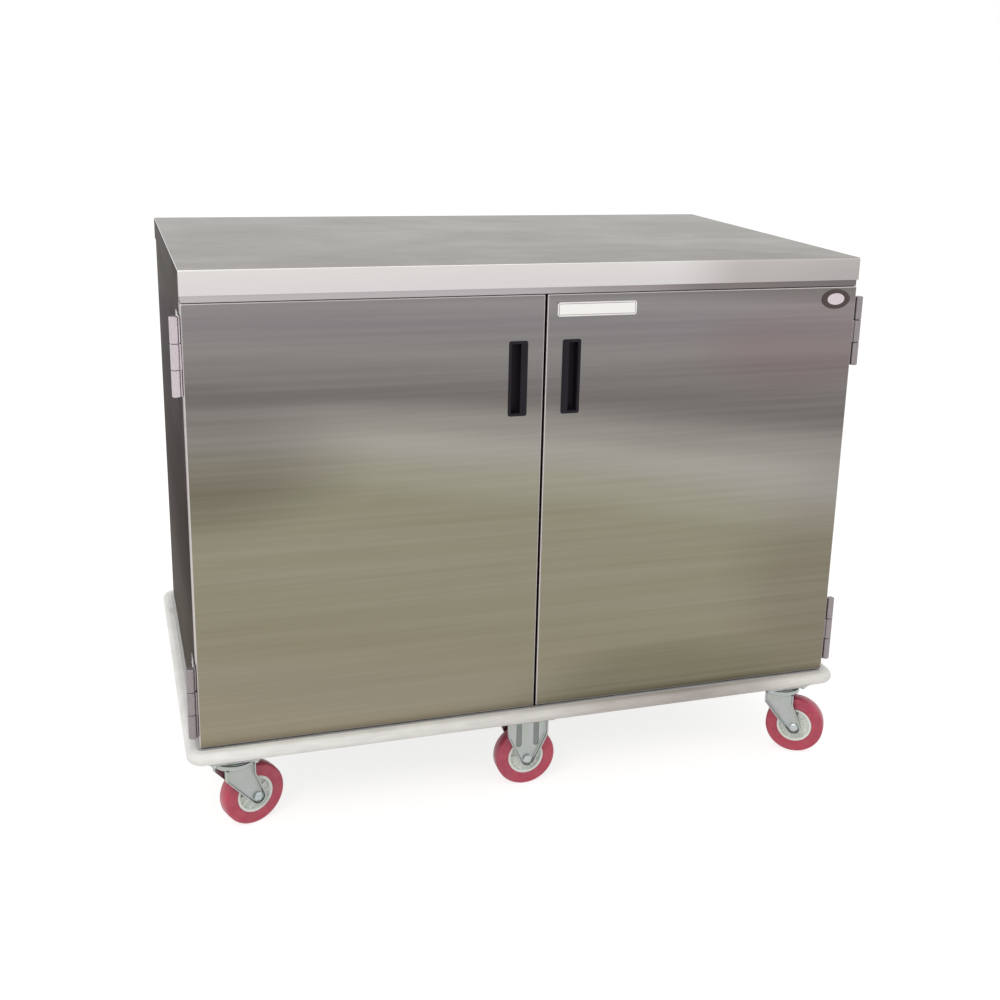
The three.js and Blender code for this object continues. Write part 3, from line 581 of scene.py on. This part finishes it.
def domeRivetMesh():
    radius, height, sunk = (rivetHead[k] for k in ("radius", "height", "sunk"))
    dome = [(0.01, -sunk), (radius, -sunk), (radius, 0.1)]
    dome += [(radius * math.cos(a), 0.1 + height * math.sin(a)) for a in (0.35, 0.7, 1.05, 1.35)]
    dome += [(0.9, height + 0.08), (0.8, height - 0.5), (0.01, height - 0.6)]
    return latheMesh(dome, rivetHead["segments"])


def hexBoltMesh():
    corner = boltHead["across"] / math.sqrt(3)
    radius, washer, chamfer = (boltHead[k] for k in ("washerRadius", "washer", "chamfer"))
    top = washer + boltHead["height"]
    disc = [(0.01, 0.0), (radius - 0.2, 0.0), (radius, 0.4), (radius - 0.2, washer), (0.01, washer)]
    head = [(0.01, washer - 0.05), (corner, washer - 0.05), (corner, top - 0.7), (corner - chamfer, top),
            (0.01, top)]
    return joinMeshes([latheMesh(disc, 20), latheMesh(head, 6)])


# patterns for the rows; they aren't part of the cart, so they aren't linked to the scene
domeRivet = bpy.data.objects.new("domeRivet", domeRivetMesh())
hexBolt = bpy.data.objects.new("hexBolt", hexBoltMesh())


def fasteners(name, head, places, body, material, size=1.0):
    # places: (point, way it faces) pairs in metres
    mesh = bpy.data.meshes.new(name)
    mesh.from_pydata([tuple(p) for p, _ in places], [], [])
    facing = mesh.attributes.new("facing", "FLOAT_VECTOR", "POINT")
    facing.data.foreach_set("vector", [v for _, way in places for v in way])
    piece = linkObject(name, mesh)
    applyTree(piece, rowTree, {"Head": head, "Size": size, "Finish": finishes[material]})
    finishPiece(piece, body, None, 35)


def borderPlaces(low, high, inset, y, columns, rows):
    # along the four edges of an upright sheet, facing the back
    (x0, z0), (x1, z1) = (low.x + inset, low.z + inset), (high.x - inset, high.z - inset)
    spots = [(x0 + (x1 - x0) * i / columns, z) for i in range(columns + 1) for z in (z0, z1)]
    spots += [(x, z0 + (z1 - z0) * j / rows) for j in range(1, rows) for x in (x0, x1)]
    return [((x, y, z), (0, 1, 0)) for x, z in spots]


print("finishes and fasteners ready")

sheetFold = {"sheet": 1.5, "bend": 3.0, "hem": 0.35, "bendSteps": 6, "cornerGap": 0.3}


def foldedSheet(node, normal, material, body, name, hole=None):
    # a sheet whose four edges are bent back from its face; normal is the way the face looks
    low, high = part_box(node)
    normal = Vector(normal)
    axis = max(range(3), key=lambda k: abs(normal[k]))
    u, v = [k for k in range(3) if k != axis]
    half, middle = (high - low) / 2, (high + low) / 2
    depth = 2 * half[axis]
    bend, sheet, hem, gap = metres(sheetFold, "bend", "sheet", "hem", "cornerGap")

    def fold(radius):
        return arcPoints(-bend, -bend, radius, 90, 0, sheetFold["bendSteps"])

    section = fold(bend) + [(0, -depth + hem), (-hem, -depth), (-sheet + hem, -depth), (-sheet, -depth + hem)]
    section += fold(bend - sheet)[::-1]
    loops = []
    for out, height in section:
        loop = []
        for a, b in roundedLoop(half[u] + out, half[v] + out, bend + gap + out):
            point = Vector((0, 0, 0))
            point[u], point[v] = middle[u] + a, middle[v] + b
            point[axis] = middle[axis] + normal[axis] * (half[axis] + height)
            loop.append(point)
        loops.append(loop)
    piece = linkObject(name, loopMesh(loops), material)
    if hole:
        cutHole(piece, hole)
    return finishPiece(piece, body, node, 28)


def cutHole(piece, tool):
    cutter = linkObject("cutter", tool)
    cut = piece.modifiers.new("opening", "BOOLEAN")
    cut.operation = "DIFFERENCE"
    cut.solver = "EXACT"
    cut.object = cutter
    bakeModifiers(piece)
    bpy.data.objects.remove(cutter)


def topDeck():
    deck = foldedSheet("top_deck", (0, 0, 1), "deckStainless", "cart", "deckTop")
    for name in ("nosingPaintedHighlight", "sidePaintedShade", "backStainless"):
        deck.data.materials.append(finishes[name])
    for face in deck.data.polygons:  # painted light: highlight on apron and bends, shade on the ends
        x, y, z = face.normal
        if z < 0.5 and abs(x) > 0.75:
            face.material_index = 2
        elif z < 0.5 and y > 0.7:
            face.material_index = 3
        elif z < 0.85:
            face.material_index = 1


threshold = {"side": 30, "ahead": 12, "behind": 16, "lift": 0.05, "gap": 0.3}
noseStrip = {"sheet": 1.2, "clearance": 0.9, "setback": 3.0, "drop": 2.2, "side": 3.8}


def thresholdStrip():
    # lies on the front rail and under the floor pan, so that no slit shows when the doors stand open
    low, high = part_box("floor_pan")
    _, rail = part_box("chassis")
    side, ahead, behind, lift, gap = metres(threshold, "side", "ahead", "behind", "lift", "gap")
    strip = softBox((low.x + side, low.y - ahead, rail.z + lift),
                    (high.x - side, low.y + behind, low.z - gap), 0.3)
    addPiece("thresholdStrip", strip, "millStainless", "cart", None, 40)


def headerNose():
    # closes the gap above the doors: a folded strip from under the deck, back to the header
    low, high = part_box("top_deck")
    header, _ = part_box("front_header")
    _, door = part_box("left_door_skin")
    sheet, clear, setback, drop, side = metres(noseStrip, "sheet", "clearance", "setback", "drop", "side")
    front, back = low.y + setback, header.y - 0.4 * mm
    bottom, top = door.z + clear, high.z - drop
    half = high.x - side
    inside = front + 0.2 * mm
    parts = [softBox((-half, front, bottom), (half, front + sheet, top), 0.5, 3),
             softBox((-half, inside, bottom), (half, back, bottom + sheet), 0.4)]
    for way in (-1, 1):
        parts.append(softBox((way * half, inside, bottom), (way * (half - sheet), back, top), 0.4))
    # the strip's finish carries painted highlight and shade
    addPiece("headerNose", joinMeshes(parts), "nosePaintedLight", "cart", None, 40)


backRows = {"inset": 9, "pitch": 125}


def shellPanels():
    for side, way in sideNames.items():
        # the outer face of each side sheet carries painted shade
        wall = foldedSheet(f"{side}_side_panel", (way, 0, 0), "sidePaintedShade", "cart",
                           f"{side}SideSheet")
        wall.data.materials.append(finishes["millStainless"])
        for face in wall.data.polygons:  # the inside of the sheet is left as it came from the mill
            if face.normal.x * way < -0.5:
                face.material_index = 1
    foldedSheet("back_panel", (0, 1, 0), "backStainless", "cart", "backSheet")
    foldedSheet("floor_pan", (0, 0, -1), "millStainless", "cart", "floorSheet")
    low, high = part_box("back_panel")
    inset, pitch = metres(backRows, "inset", "pitch")
    columns, rows = (round((high[k] - low[k] - 2 * inset) / pitch) for k in (0, 2))
    places = borderPlaces(low, high, inset, high.y, columns, rows)
    fasteners("backRivets", domeRivet, places, "cart", "hinge")


pullShape = {"rim": 3.5, "wall": 2.0, "flange": 1.2, "corner": 4.0, "draft": 1.0, "edge": 0.45, "fillet": 1.5,
             "lip": 8.0, "lipThickness": 2.6, "lipSlope": 4.5, "overlap": 0.6}


def doorPull(side, way):
    low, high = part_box(f"{side}_door_pull")
    half, middle = (high - low) / 2, (high + low) / 2
    front, back = low.y, high.y
    rim, wall, flange, corner, draft = metres(pullShape, "rim", "wall", "flange", "corner", "draft")
    edge, fillet, reach, thick, overlap, slope = metres(
        pullShape, "edge", "fillet", "lip", "lipThickness", "overlap", "lipSlope")
    seat, mouth, hair = front + flange, rim + wall, 0.1 * mm
    stack = [  # inset from the flange's outline, y, from the pocket's floor out and round to the back
        (mouth + draft + fillet, back - wall), (mouth + draft, back - wall - fillet), (mouth, front + edge),
        (mouth - edge, front), (edge, front), (hair, front + edge * 0.4), (0, front + edge), (0, seat - hair),
        (hair, seat), (rim, seat), (rim + 2 * hair, seat + 2 * hair), (rim + draft, back - edge),
        (rim + draft + edge, back),
    ]
    loops = []
    for inset, y in stack:
        flat = roundedLoop(half.x - inset, half.z - inset, max(corner - inset * 0.4, 1.2 * mm))
        loops.append([(middle.x + a, y, middle.z + b) for a, b in flat])
    # the lip that fingers hook behind, curled in from the door's free side
    free, face = middle.x - way * (half.x - mouth), front + 2 * hair
    radius = thick / 2
    bend = reach - radius
    curl = [(-overlap, face), (bend, face)]
    curl += [(bend + radius * math.cos(a), face + radius * (1 + math.sin(a))) for a in (-0.9, -0.3, 0.3, 0.9)]
    curl += [(bend, face + thick), (-overlap, front + slope)]
    tall = half.z - mouth + 0.4 * mm
    lip = loopMesh([[(free + way * x, y, middle.z + end * tall) for x, y in curl] for end in (-1, 1)])
    addPiece(f"{side}DoorPull", joinMeshes([loopMesh(loops), lip]), "pull", f"{side}_door",
             f"{side}_door_pull", 34)


linerRows = {"inset": 12, "sunk": 0.9, "columns": 5, "rows": 7, "size": 0.72}


def doorLeaf(side, way):
    body = f"{side}_door"
    low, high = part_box(f"{side}_door_pull")
    skinLow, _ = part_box(f"{side}_door_skin")
    rim = (pullShape["rim"] - 0.3) * mm
    hole = softBox((low.x + rim, skinLow.y - 0.01, low.z + rim),
                   (high.x - rim, skinLow.y + 0.01, high.z - rim), 0.8, 1)
    # the skin's finish carries painted reflections
    skin = foldedSheet(f"{side}_door_skin", (0, -1, 0), "doorPaintedReflections", body,
                       f"{side}DoorSkin", hole)
    skin.data.materials.append(finishes["foldPaintedHighlight"])
    for face in skin.data.polygons:  # the folds round the door get a painted highlight
        if -0.97 < face.normal.y < -0.1:
            face.material_index = 1
    foldedSheet(f"{side}_door_liner", (0, 1, 0), "millStainless", body,
                f"{side}DoorLiner")
    doorPull(side, way)
    low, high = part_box(f"{side}_door_liner")
    inset, sunk = metres(linerRows, "inset", "sunk")
    places = borderPlaces(low, high, inset, high.y - sunk, linerRows["columns"], linerRows["rows"])
    fasteners(f"{side}LinerRivets", domeRivet, places, body, "hinge", linerRows["size"])


holderShape = {"rail": 2.5, "back": 0.5, "margin": 1.1, "card": 0.45}  # margin: the grey back seen as painted shadow


def cardHolder():
    low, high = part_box("card_holder")
    rail, floor, margin, card = metres(holderShape, "rail", "back", "margin", "card")
    back = high.y
    plate = softBox((low.x, back - floor, low.z), high, 0.2, 1)
    addPiece("cardHolderBack", plate, "holderPaintedShadow", "right_door", None, 40)
    parts = [softBox((low.x, low.y, z), (high.x, back, z + rail), 0.35) for z in (low.z, high.z - rail)]
    parts += [softBox((x, low.y, low.z), (x + rail, back, high.z), 0.35) for x in (low.x, high.x - rail)]
    addPiece("cardHolderFrame", joinMeshes(parts), "holder", "right_door", "card_holder", 40)
    inset = rail + margin
    sheet = softBox((low.x + inset, back - floor - card, low.z + inset),
                    (high.x - inset, back - floor - 0.02 * mm, high.z - inset), 0.1, 1)
    addPiece("blankCard", sheet, "card", "right_door", None, 40)


plateShape = {"rimSide": 13.0, "rimTop": 8.5, "steps": 56}


def ovalPlate():
    low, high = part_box("oval_badge")
    middle, half = (low + high) / 2, (high - low) / 2

    def ellipses(insetX, insetZ, rows):
        # rows: (further inset in millimetres, share of the plate's thickness behind its front)
        loops = []
        for inset, depth in rows:
            x, z = half.x - (insetX + inset) * mm, half.z - (insetZ + inset) * mm
            angles = [2 * math.pi * i / plateShape["steps"] for i in range(plateShape["steps"])]
            y = low.y + depth * (high.y - low.y)
            loops.append([(middle.x + x * math.cos(a), y, middle.z + z * math.sin(a)) for a in angles])
        return loops

    inner = (plateShape["rimSide"], plateShape["rimTop"])
    rim = ellipses(0, 0, ((0.2, 1.0), (0.0, 0.75), (0.15, 0.3), (0.7, 0.03), (2.0, 0.0)))
    rim += ellipses(*inner, ((-1.6, 0.0), (-0.7, 0.1), (-0.2, 0.45), (0.0, 1.0)))
    addPiece("ovalPlateRim", loopMesh(rim, True), "plateRim", "right_door", "oval_badge")
    field = ellipses(*inner, ((-0.1, 0.95), (-0.1, 0.42), (0.6, 0.3), (4.0, 0.22), (8.0, 0.2)))
    addPiece("ovalPlateField", loopMesh(field), "plateField", "right_door")


hinge = {"barrelRadius": 8.0, "chamfer": 1.2, "knuckle": 46.0, "knuckleGap": 0.6, "segments": 40,
         "pinRadius": 4.0, "pinChamfer": 0.6, "sheet": 2.5, "leafLength": 44.0, "armSheet": 3.4,
         "screwRow": 30.0, "screwEnd": 14.0, "screwMiddle": 20.0}


def knuckleMesh(z0, z1):
    outer, bore, chamfer = hinge["barrelRadius"], hinge["pinRadius"] - 0.5, hinge["chamfer"]
    profile = [(bore, z0), (outer - chamfer, z0), (outer, z0 + chamfer), (outer, z1 - chamfer),
               (outer - chamfer, z1), (bore, z1)]
    return latheMesh(profile, hinge["segments"], closed=True)


def hingePair(side, way, level):
    leafNode, strapNode = f"{side}_{level}_hinge_leaf", f"{side}_{level}_hinge_strap"
    title = f"{side}{level.title()}Hinge"
    finish = "hingePaintedHighlight" if (side, level) == ("left", "upper") else "hinge"  # that one carries a painted highlight
    low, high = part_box(leafNode)
    near, far = (low.x, high.x) if way > 0 else (high.x, low.x)
    radius, sheet, arm = metres(hinge, "barrelRadius", "sheet", "armSheet")
    pivot = Vector((far - way * radius, low.y + radius, 0))
    z0, z1 = low.z, high.z
    middle = (z0 + z1) / 2
    reach = (hinge["knuckle"] / 2 + hinge["knuckleGap"]) * mm
    leafFront = high.y - hinge["leafLength"] * mm
    parts = [softBox((near, leafFront, z0), (near + way * sheet, high.y, z1), 0.6, 3)]
    for a, b in ((z0, middle - reach), (middle + reach, z1)):
        parts.append(softBox((near + way * 0.2 * mm, pivot.y - mm, a),
                             (near + way * arm, leafFront + 3 * mm, b), 0.5))
        parts.append(placed(knuckleMesh(a / mm, b / mm), pivot))
    pin, chamfer = hinge["pinRadius"], hinge["pinChamfer"]
    half = [(0.01, z0 / mm), (pin - chamfer, z0 / mm), (pin, z0 / mm + chamfer)]
    half += [(pin, z1 / mm - chamfer), (pin - chamfer, z1 / mm), (0.01, z1 / mm)]
    parts.append(placed(latheMesh(half, 24), pivot))
    addPiece(f"{title}Leaf", joinMeshes(parts), finish, "cart", leafNode, 36)
    row, end, inner = metres(hinge, "screwRow", "screwEnd", "screwMiddle")
    heights = (z0 + end, middle - inner, middle + inner, z1 - end)
    places = [((near + way * sheet, leafFront + row, z), (way, 0, 0)) for z in heights]
    fasteners(f"{title}Screws", domeRivet, places, "cart", "bolt", 1.1)

    low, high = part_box(strapNode)
    near = low.x if way > 0 else high.x
    parts = [softBox((near, low.y + 4 * mm, low.z), (near + way * sheet, high.y, high.z), 0.5),
             softBox((near + way * 2 * mm, pivot.y - sheet, low.z),
                     (pivot.x - way * 4 * mm, pivot.y + sheet, high.z), 0.3, 1),
             placed(knuckleMesh(low.z / mm, high.z / mm), pivot)]
    addPiece(f"{title}Strap", joinMeshes(parts), finish, f"{side}_door", strapNode, 36)


bumperShape = {"railInset": 29.0, "bellyShare": 0.92, "back": 2.6, "step": 2.3, "shoulder": 10.3,
               "crownSteps": 14, "channelWall": 2.0, "channelEdge": 0.3, "cornerRadius": 3.0}


def sweptFrame(halfX, halfY, section):
    # section: (out, height) points; the frame's corners keep the section square to its edge
    corner = bumperShape["cornerRadius"] * mm
    loops = []
    for out, z in section:
        flat = roundedLoop(halfX + out, halfY + out, max(corner + out, 0.5 * mm), 12)
        loops.append([(a, b, z) for a, b in flat])
    return loopMesh(loops, True)


def bumper():
    low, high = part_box("bumper_strip")
    _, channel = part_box("bumper_channel")
    nose, back, step, shoulder = metres(bumperShape, "railInset", "back", "step", "shoulder")
    rail = (high.x - nose, high.y - nose)
    z0, z1 = low.z, high.z
    half, middle = (z1 - z0) / 2, (z1 + z0) / 2
    belly = half * bumperShape["bellyShare"]
    angles = [math.pi * i / bumperShape["crownSteps"] for i in range(bumperShape["crownSteps"] + 1)]
    section = [(back, z0 + step), (back, z1 - step), (shoulder, z1 - step), (shoulder, z1)]
    section += [(nose - belly + belly * math.sin(a), middle + half * math.cos(a)) for a in angles]
    section += [(shoulder, z0), (shoulder, z0 + step)]
    addPiece("bumperStrip", sweptFrame(*rail, section), "vinyl", "cart", "bumper_strip", 40)
    wall, edge = metres(bumperShape, "channelWall", "channelEdge")
    reach = channel.x - rail[0]
    section = [(edge, z0), (edge, z1), (reach - edge, z1), (reach, z1 - edge), (reach, z1 - wall),
               (edge + wall, z1 - wall), (edge + wall, z0 + wall), (reach, z0 + wall), (reach, z0 + edge),
               (reach - edge, z0)]
    addPiece("bumperChannel", sweptFrame(*rail, section), "channel", "cart", "bumper_channel",
             30)


caster = {
    "wheelRadius": 63.5, "treadHalf": 16.0, "treadShoulder": 6.0, "coreRadius": 38.0, "coreHalf": 15.0,
    "coreBore": 6.6, "hubRadius": 15.0,
    "leftTurn": 22.0, "rightTurn": -35.0,  # degrees, how far the swivels at each end stand turned
    "trail": 36.0, "plateBottom": 154.0, "crownDrop": 14.5, "crownRadius": 40.0,
    "legInner": 20.5, "legSheet": 3.0, "legFlange": 10.0, "legFoot": 16.0, "legShoulder": 118.0,
    "legEdge": 0.7, "swivelLegTop": 62.0, "rigidLegTop": 86.0,
    "boltInset": 7.0, "boltSize": 0.8, "sheetTop": 161.0,
    "ribWidth": 12.0, "ribOut": 18.5, "ribFoot": 92.0, "ribHead": 147.0,
    "axleRadius": 6.0, "axleHex": 9.5,
}
coreRibs = {"Count": 10, "Radius": 24.0 * mm, "Length": 18.0 * mm, "Thickness": 2.4 * mm, "Width": 25.0 * mm}


def middleOf(node):
    low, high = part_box(node)
    return (low + high) / 2


def mirrored(side):
    return [(r, -h) for r, h in side] + side[::-1]


def tyreMesh():
    radius, half, shoulder = (caster[k] for k in ("wheelRadius", "treadHalf", "treadShoulder"))
    inner = caster["coreRadius"] + 0.3
    side = [(inner, half - 1.2), (inner + 2.5, half - 0.6), (inner + 3.2, half - 1.0),
            (radius - 8.5, half - 0.4), (radius - 6.5, half)]
    side += arcPoints(radius - shoulder, half - shoulder, shoulder, 90, 22.5, 3)
    return latheMesh(mirrored(side + [(radius, 0.0)]), 96, True, "Y")


def coreMesh():
    rim, bore, hub, half = (caster[k] for k in ("coreRadius", "coreBore", "hubRadius", "coreHalf"))
    side = [(bore, 18.6), (hub - 1.2, 19.0), (hub, 18.0), (hub + 0.6, 7.5), (hub + 2.5, 6.2),
            (rim - 8.0, 6.0), (rim - 6.4, 7.0), (rim - 5.6, half - 1.0), (rim - 4.8, half),
            (rim - 0.6, half), (rim, half - 0.6)]
    return latheMesh(mirrored(side), 72, True, "Y")


def spokeTree():
    # ribs between hub and rim on both faces of the core
    tree, given = startTree("coreRibs", {
        "Core": "Geometry", "Count": "Int", "Radius": "Float", "Length": "Float", "Thickness": "Float",
        "Width": "Float", "Finish": "Material"}, "Wheel")
    ring = addNode(tree, "GeometryNodeMeshCircle", {"Vertices": given["Count"], "Radius": given["Radius"]})
    size = addNode(tree, "ShaderNodeCombineXYZ", {
        "X": given["Length"], "Y": given["Thickness"], "Z": given["Width"]})
    rib = addNode(tree, "GeometryNodeMeshCube", {"Size": size.outputs[0]})
    place = addNode(tree, "GeometryNodeInputPosition")
    turn = addNode(tree, "FunctionNodeAlignRotationToVector", {"Vector": place.outputs[0]}, axis="X")
    ribs = addNode(tree, "GeometryNodeInstanceOnPoints", {
        "Points": ring.outputs["Mesh"], "Instance": rib.outputs["Mesh"],
        "Rotation": turn.outputs["Rotation"]})
    upright = addNode(tree, "GeometryNodeTransform", {
        "Geometry": ribs.outputs["Instances"], "Rotation": (math.pi / 2, 0, 0)})
    both = addNode(tree, "GeometryNodeJoinGeometry")
    tree.links.new(given["Core"], both.inputs[0])
    tree.links.new(upright.outputs[0], both.inputs[0])
    return endTree(tree, both.outputs[0], given["Finish"], "Wheel")


ribTree = spokeTree()


def wheel(name, turn):
    centre = middleOf(f"{name}_wheel_core")
    tyre = placed(tyreMesh(), centre, turn)
    addPiece(f"{name}_treadRing", tyre, "tread", f"{name}_wheel", f"{name}_tyre", 40)
    core = linkObject(f"{name}_moulded_core", coreMesh())
    applyTree(core, ribTree, {**coreRibs, "Finish": finishes["core"]})
    placed(core.data, centre, turn)
    finishPiece(core, f"{name}_wheel", f"{name}_wheel_core", 30)


def axle(name, turn, body):
    seat = caster["legInner"] + caster["legSheet"] + 0.3
    radius, corner = caster["axleRadius"], caster["axleHex"]
    parts = [latheMesh([(0.01, -26), (radius, -26), (radius, 26), (0.01, 26)], 28, axis="Y")]
    for way in (-1, 1):
        washer = [(radius, seat), (9.4, seat), (9.4, seat + 1.1), (radius, seat + 1.1)]
        head = [(0.01, seat + 1.0), (corner, seat + 1.0), (corner, seat + 4.2), (corner - 1.4, seat + 4.9),
                (0.01, seat + 5.0)]
        parts.append(latheMesh([(r, way * h) for r, h in washer], 28, True, "Y"))
        parts.append(latheMesh([(r, way * h) for r, h in head], 6, axis="Y"))
    mesh = placed(joinMeshes(parts), middleOf(f"{name}_wheel_core"), turn)
    addPiece(f"{name}_axleBolt", mesh, "bolt", body, f"{name}_axle", 25)


def legOutline(topWidth, top, footX, radius):
    # upright sides down to the shoulder, then straight ones that run in to the round foot at the axle
    half, shoulder, footZ = topWidth / 2, caster["legShoulder"], caster["wheelRadius"]

    def touch(px, turn):
        dx, dz = px - footX, shoulder - footZ
        return math.degrees(math.atan2(dz, dx) + turn * math.acos(radius / math.hypot(dx, dz)))

    foot = arcPoints(footX, footZ, radius, touch(-half, 1), touch(half, -1) + 360, 18)
    return [(-half, top), (-half, shoulder), *foot, (half, shoulder), (half, top)]


def pressedLeg(way, topWidth, top, footX):
    # a plate beside the wheel whose edges are flanged away from it
    inner, sheet, foot, edge = (caster[k] for k in ("legInner", "legSheet", "legFoot", "legEdge"))
    outer = inner + caster["legFlange"]
    stack = [  # inset of the outline, distance from the wheel's middle
        (edge, inner), (0.0, inner + edge), (0.0, outer - 0.5), (0.5, outer), (sheet - 0.5, outer),
        (sheet, outer - 0.5), (sheet, inner + sheet + 1.6), (sheet + 1.6, inner + sheet),
    ]
    loops = []
    for inset, y in stack:
        outline = legOutline(topWidth - 2 * inset, top, footX, foot - inset)
        loops.append([(x * mm, way * y * mm, z * mm) for x, z in outline])
    return loopMesh(loops)


def rigidLegRibs(name, place):
    # two pressed ribs on each leg, in a darker zinc: painted shade for the dark stripes beside the flanges
    face, half = caster["legInner"] + caster["legSheet"], caster["ribWidth"] / 2
    length = (caster["ribHead"] - caster["ribFoot"]) / 2
    middle = caster["ribFoot"] + length
    parts = []
    for way, x in ((way, x) for way in (-1, 1) for x in (-caster["ribOut"], caster["ribOut"])):
        loops = []
        for inset, rise in ((0.0, -0.3), (0.0, 0.1), (0.5, 0.5), (1.4, 0.8), (2.6, 0.9)):
            flat = roundedLoop(half - inset, length - inset, half - inset - 0.1)
            loops.append([((x + a) * mm, way * (face + rise) * mm, (middle + b) * mm) for a, b in flat])
        parts.append(loopMesh(loops))
    addPiece(f"{name}_legRibs", placed(joinMeshes(parts), place), "zincPaintedShade", "cart", None, 50)


def casterTop(node):
    # the middle of the plate on the ground, half its sizes and its upper face
    low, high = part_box(node)
    half = (high - low) / 2
    return Vector((low.x + half.x, low.y + half.y, 0)), half.x, half.y, high.z


def swivelFork(name, turn, body):
    king, *_ = casterTop(f"{name}_caster_plate")
    bottom = caster["plateBottom"] - caster["crownDrop"]
    crown, lip = caster["crownRadius"], caster["crownRadius"] - 2.5
    dish = [(8.5, bottom), (crown - 4, bottom)]
    dish += arcPoints(crown - 3, bottom + 3, 3, -70, 0, 5)
    dish += [(crown, bottom + 9.5), (crown - 0.6, bottom + 10.5), (lip + 0.4, bottom + 10.5),
             (lip, bottom + 9.8), (lip, bottom + 5), (lip - 1, bottom + 4), (8.5, bottom + 4)]
    parts = [latheMesh(dish, 64, closed=True)]
    parts += [pressedLeg(way, caster["swivelLegTop"], bottom + 1, caster["trail"]) for way in (-1, 1)]
    mesh = placed(joinMeshes(parts), king, turn)
    addPiece(f"{name}_pressedFork", mesh, "zinc", body, f"{name}_fork", 34)


def swivelTop(name):
    king, halfX, halfY, top = casterTop(f"{name}_caster_plate")
    race = [(0.01, 147.0), (28, 147.0), (30, 147.3)] + arcPoints(30, 151, 3.8, -80, 0, 5)
    race += [(34, 154.4), (0.01, 154.4)]
    seal = [(34.3, 146.5), (35.6, 146.2), (36.4, 147.2), (36.2, 152.0), (34.3, 152.4)]
    pin = [(0.01, 134.3), (7.6, 134.3), (8.0, 134.8), (8.0, 148.0), (0.01, 148.0)]
    nut = [(0.01, 134.8), (11.6, 134.8), (12.6, 135.5), (12.6, 138.4), (11.6, 139.1), (0.01, 139.1)]
    parts = [softBox((-halfX, -halfY, caster["plateBottom"] * mm), (halfX, halfY, top), 0.8),
             latheMesh(race, 48), latheMesh(seal, 48, closed=True), latheMesh(pin, 24), latheMesh(nut, 6)]
    mesh = placed(joinMeshes(parts), king)
    addPiece(f"{name}_topPlate", mesh, "zinc", "cart", f"{name}_caster_plate", 30)
    plateBolts(name, king, halfX, halfY)


def plateBolts(name, middle, halfX, halfY):
    inset, top, under = metres(caster, "boltInset", "sheetTop", "plateBottom")
    spots = []
    for x in (middle.x + inset - halfX, middle.x + halfX - inset):
        for y in (middle.y + inset - halfY, middle.y + halfY - inset):
            spots += [((x, y, top), (0, 0, 1)), ((x, y, under), (0, 0, -1))]
    fasteners(f"{name}_plateBolts", hexBolt, spots, "cart", "bolt", caster["boltSize"])


def rigidFork(name):
    middle, halfX, halfY, top = casterTop(f"{name}_fork")
    under = caster["plateBottom"]
    parts = [softBox((-halfX, -halfY, under * mm), (halfX, halfY, top), 0.8)]
    parts += [pressedLeg(way, caster["rigidLegTop"], under + 1, 0) for way in (-1, 1)]
    mesh = placed(joinMeshes(parts), middle)
    addPiece(f"{name}_pressedFork", mesh, "zinc", "cart", f"{name}_fork", 34)
    rigidLegRibs(name, middle)
    plateBolts(name, middle, halfX, halfY)


placeCamera()
lightRoom()
layFloor()
print("camera, lamps and floor placed")

topDeck()
shellPanels()
headerNose()
thresholdStrip()
for side, way in sideNames.items():
    doorLeaf(side, way)
    for level in ("upper", "lower"):
        hingePair(side, way, level)
cardHolder()
ovalPlate()
print("cabinet and doors dressed")

softened("chassis", "cart", "millStainless")
softened("front_header", "cart", "deckStainless")
softened("centre_partition", "cart", "millStainless")
for side in sideNames:
    for place in ("outer", "inner"):
        softened(f"{side}_{place}_tray_rack", "cart", "millStainless", 0.3, 1)
    softened(f"{side}_magnet_catch", "cart", "magnet", 0.8)
print("inside dressed")

bumper()
for end in endNames:
    for side in sideNames:
        name, turn = f"{end}_{side}", math.radians(caster[f"{side}Turn"])
        swivelTop(name)
        swivelFork(name, turn, f"{name}_swivel")
        wheel(name, turn)
        axle(name, turn, f"{name}_swivel")
    name = f"{end}_middle"
    rigidFork(name)
    wheel(name, 0.0)
    axle(name, 0.0, "cart")
print("bumper and casters dressed")
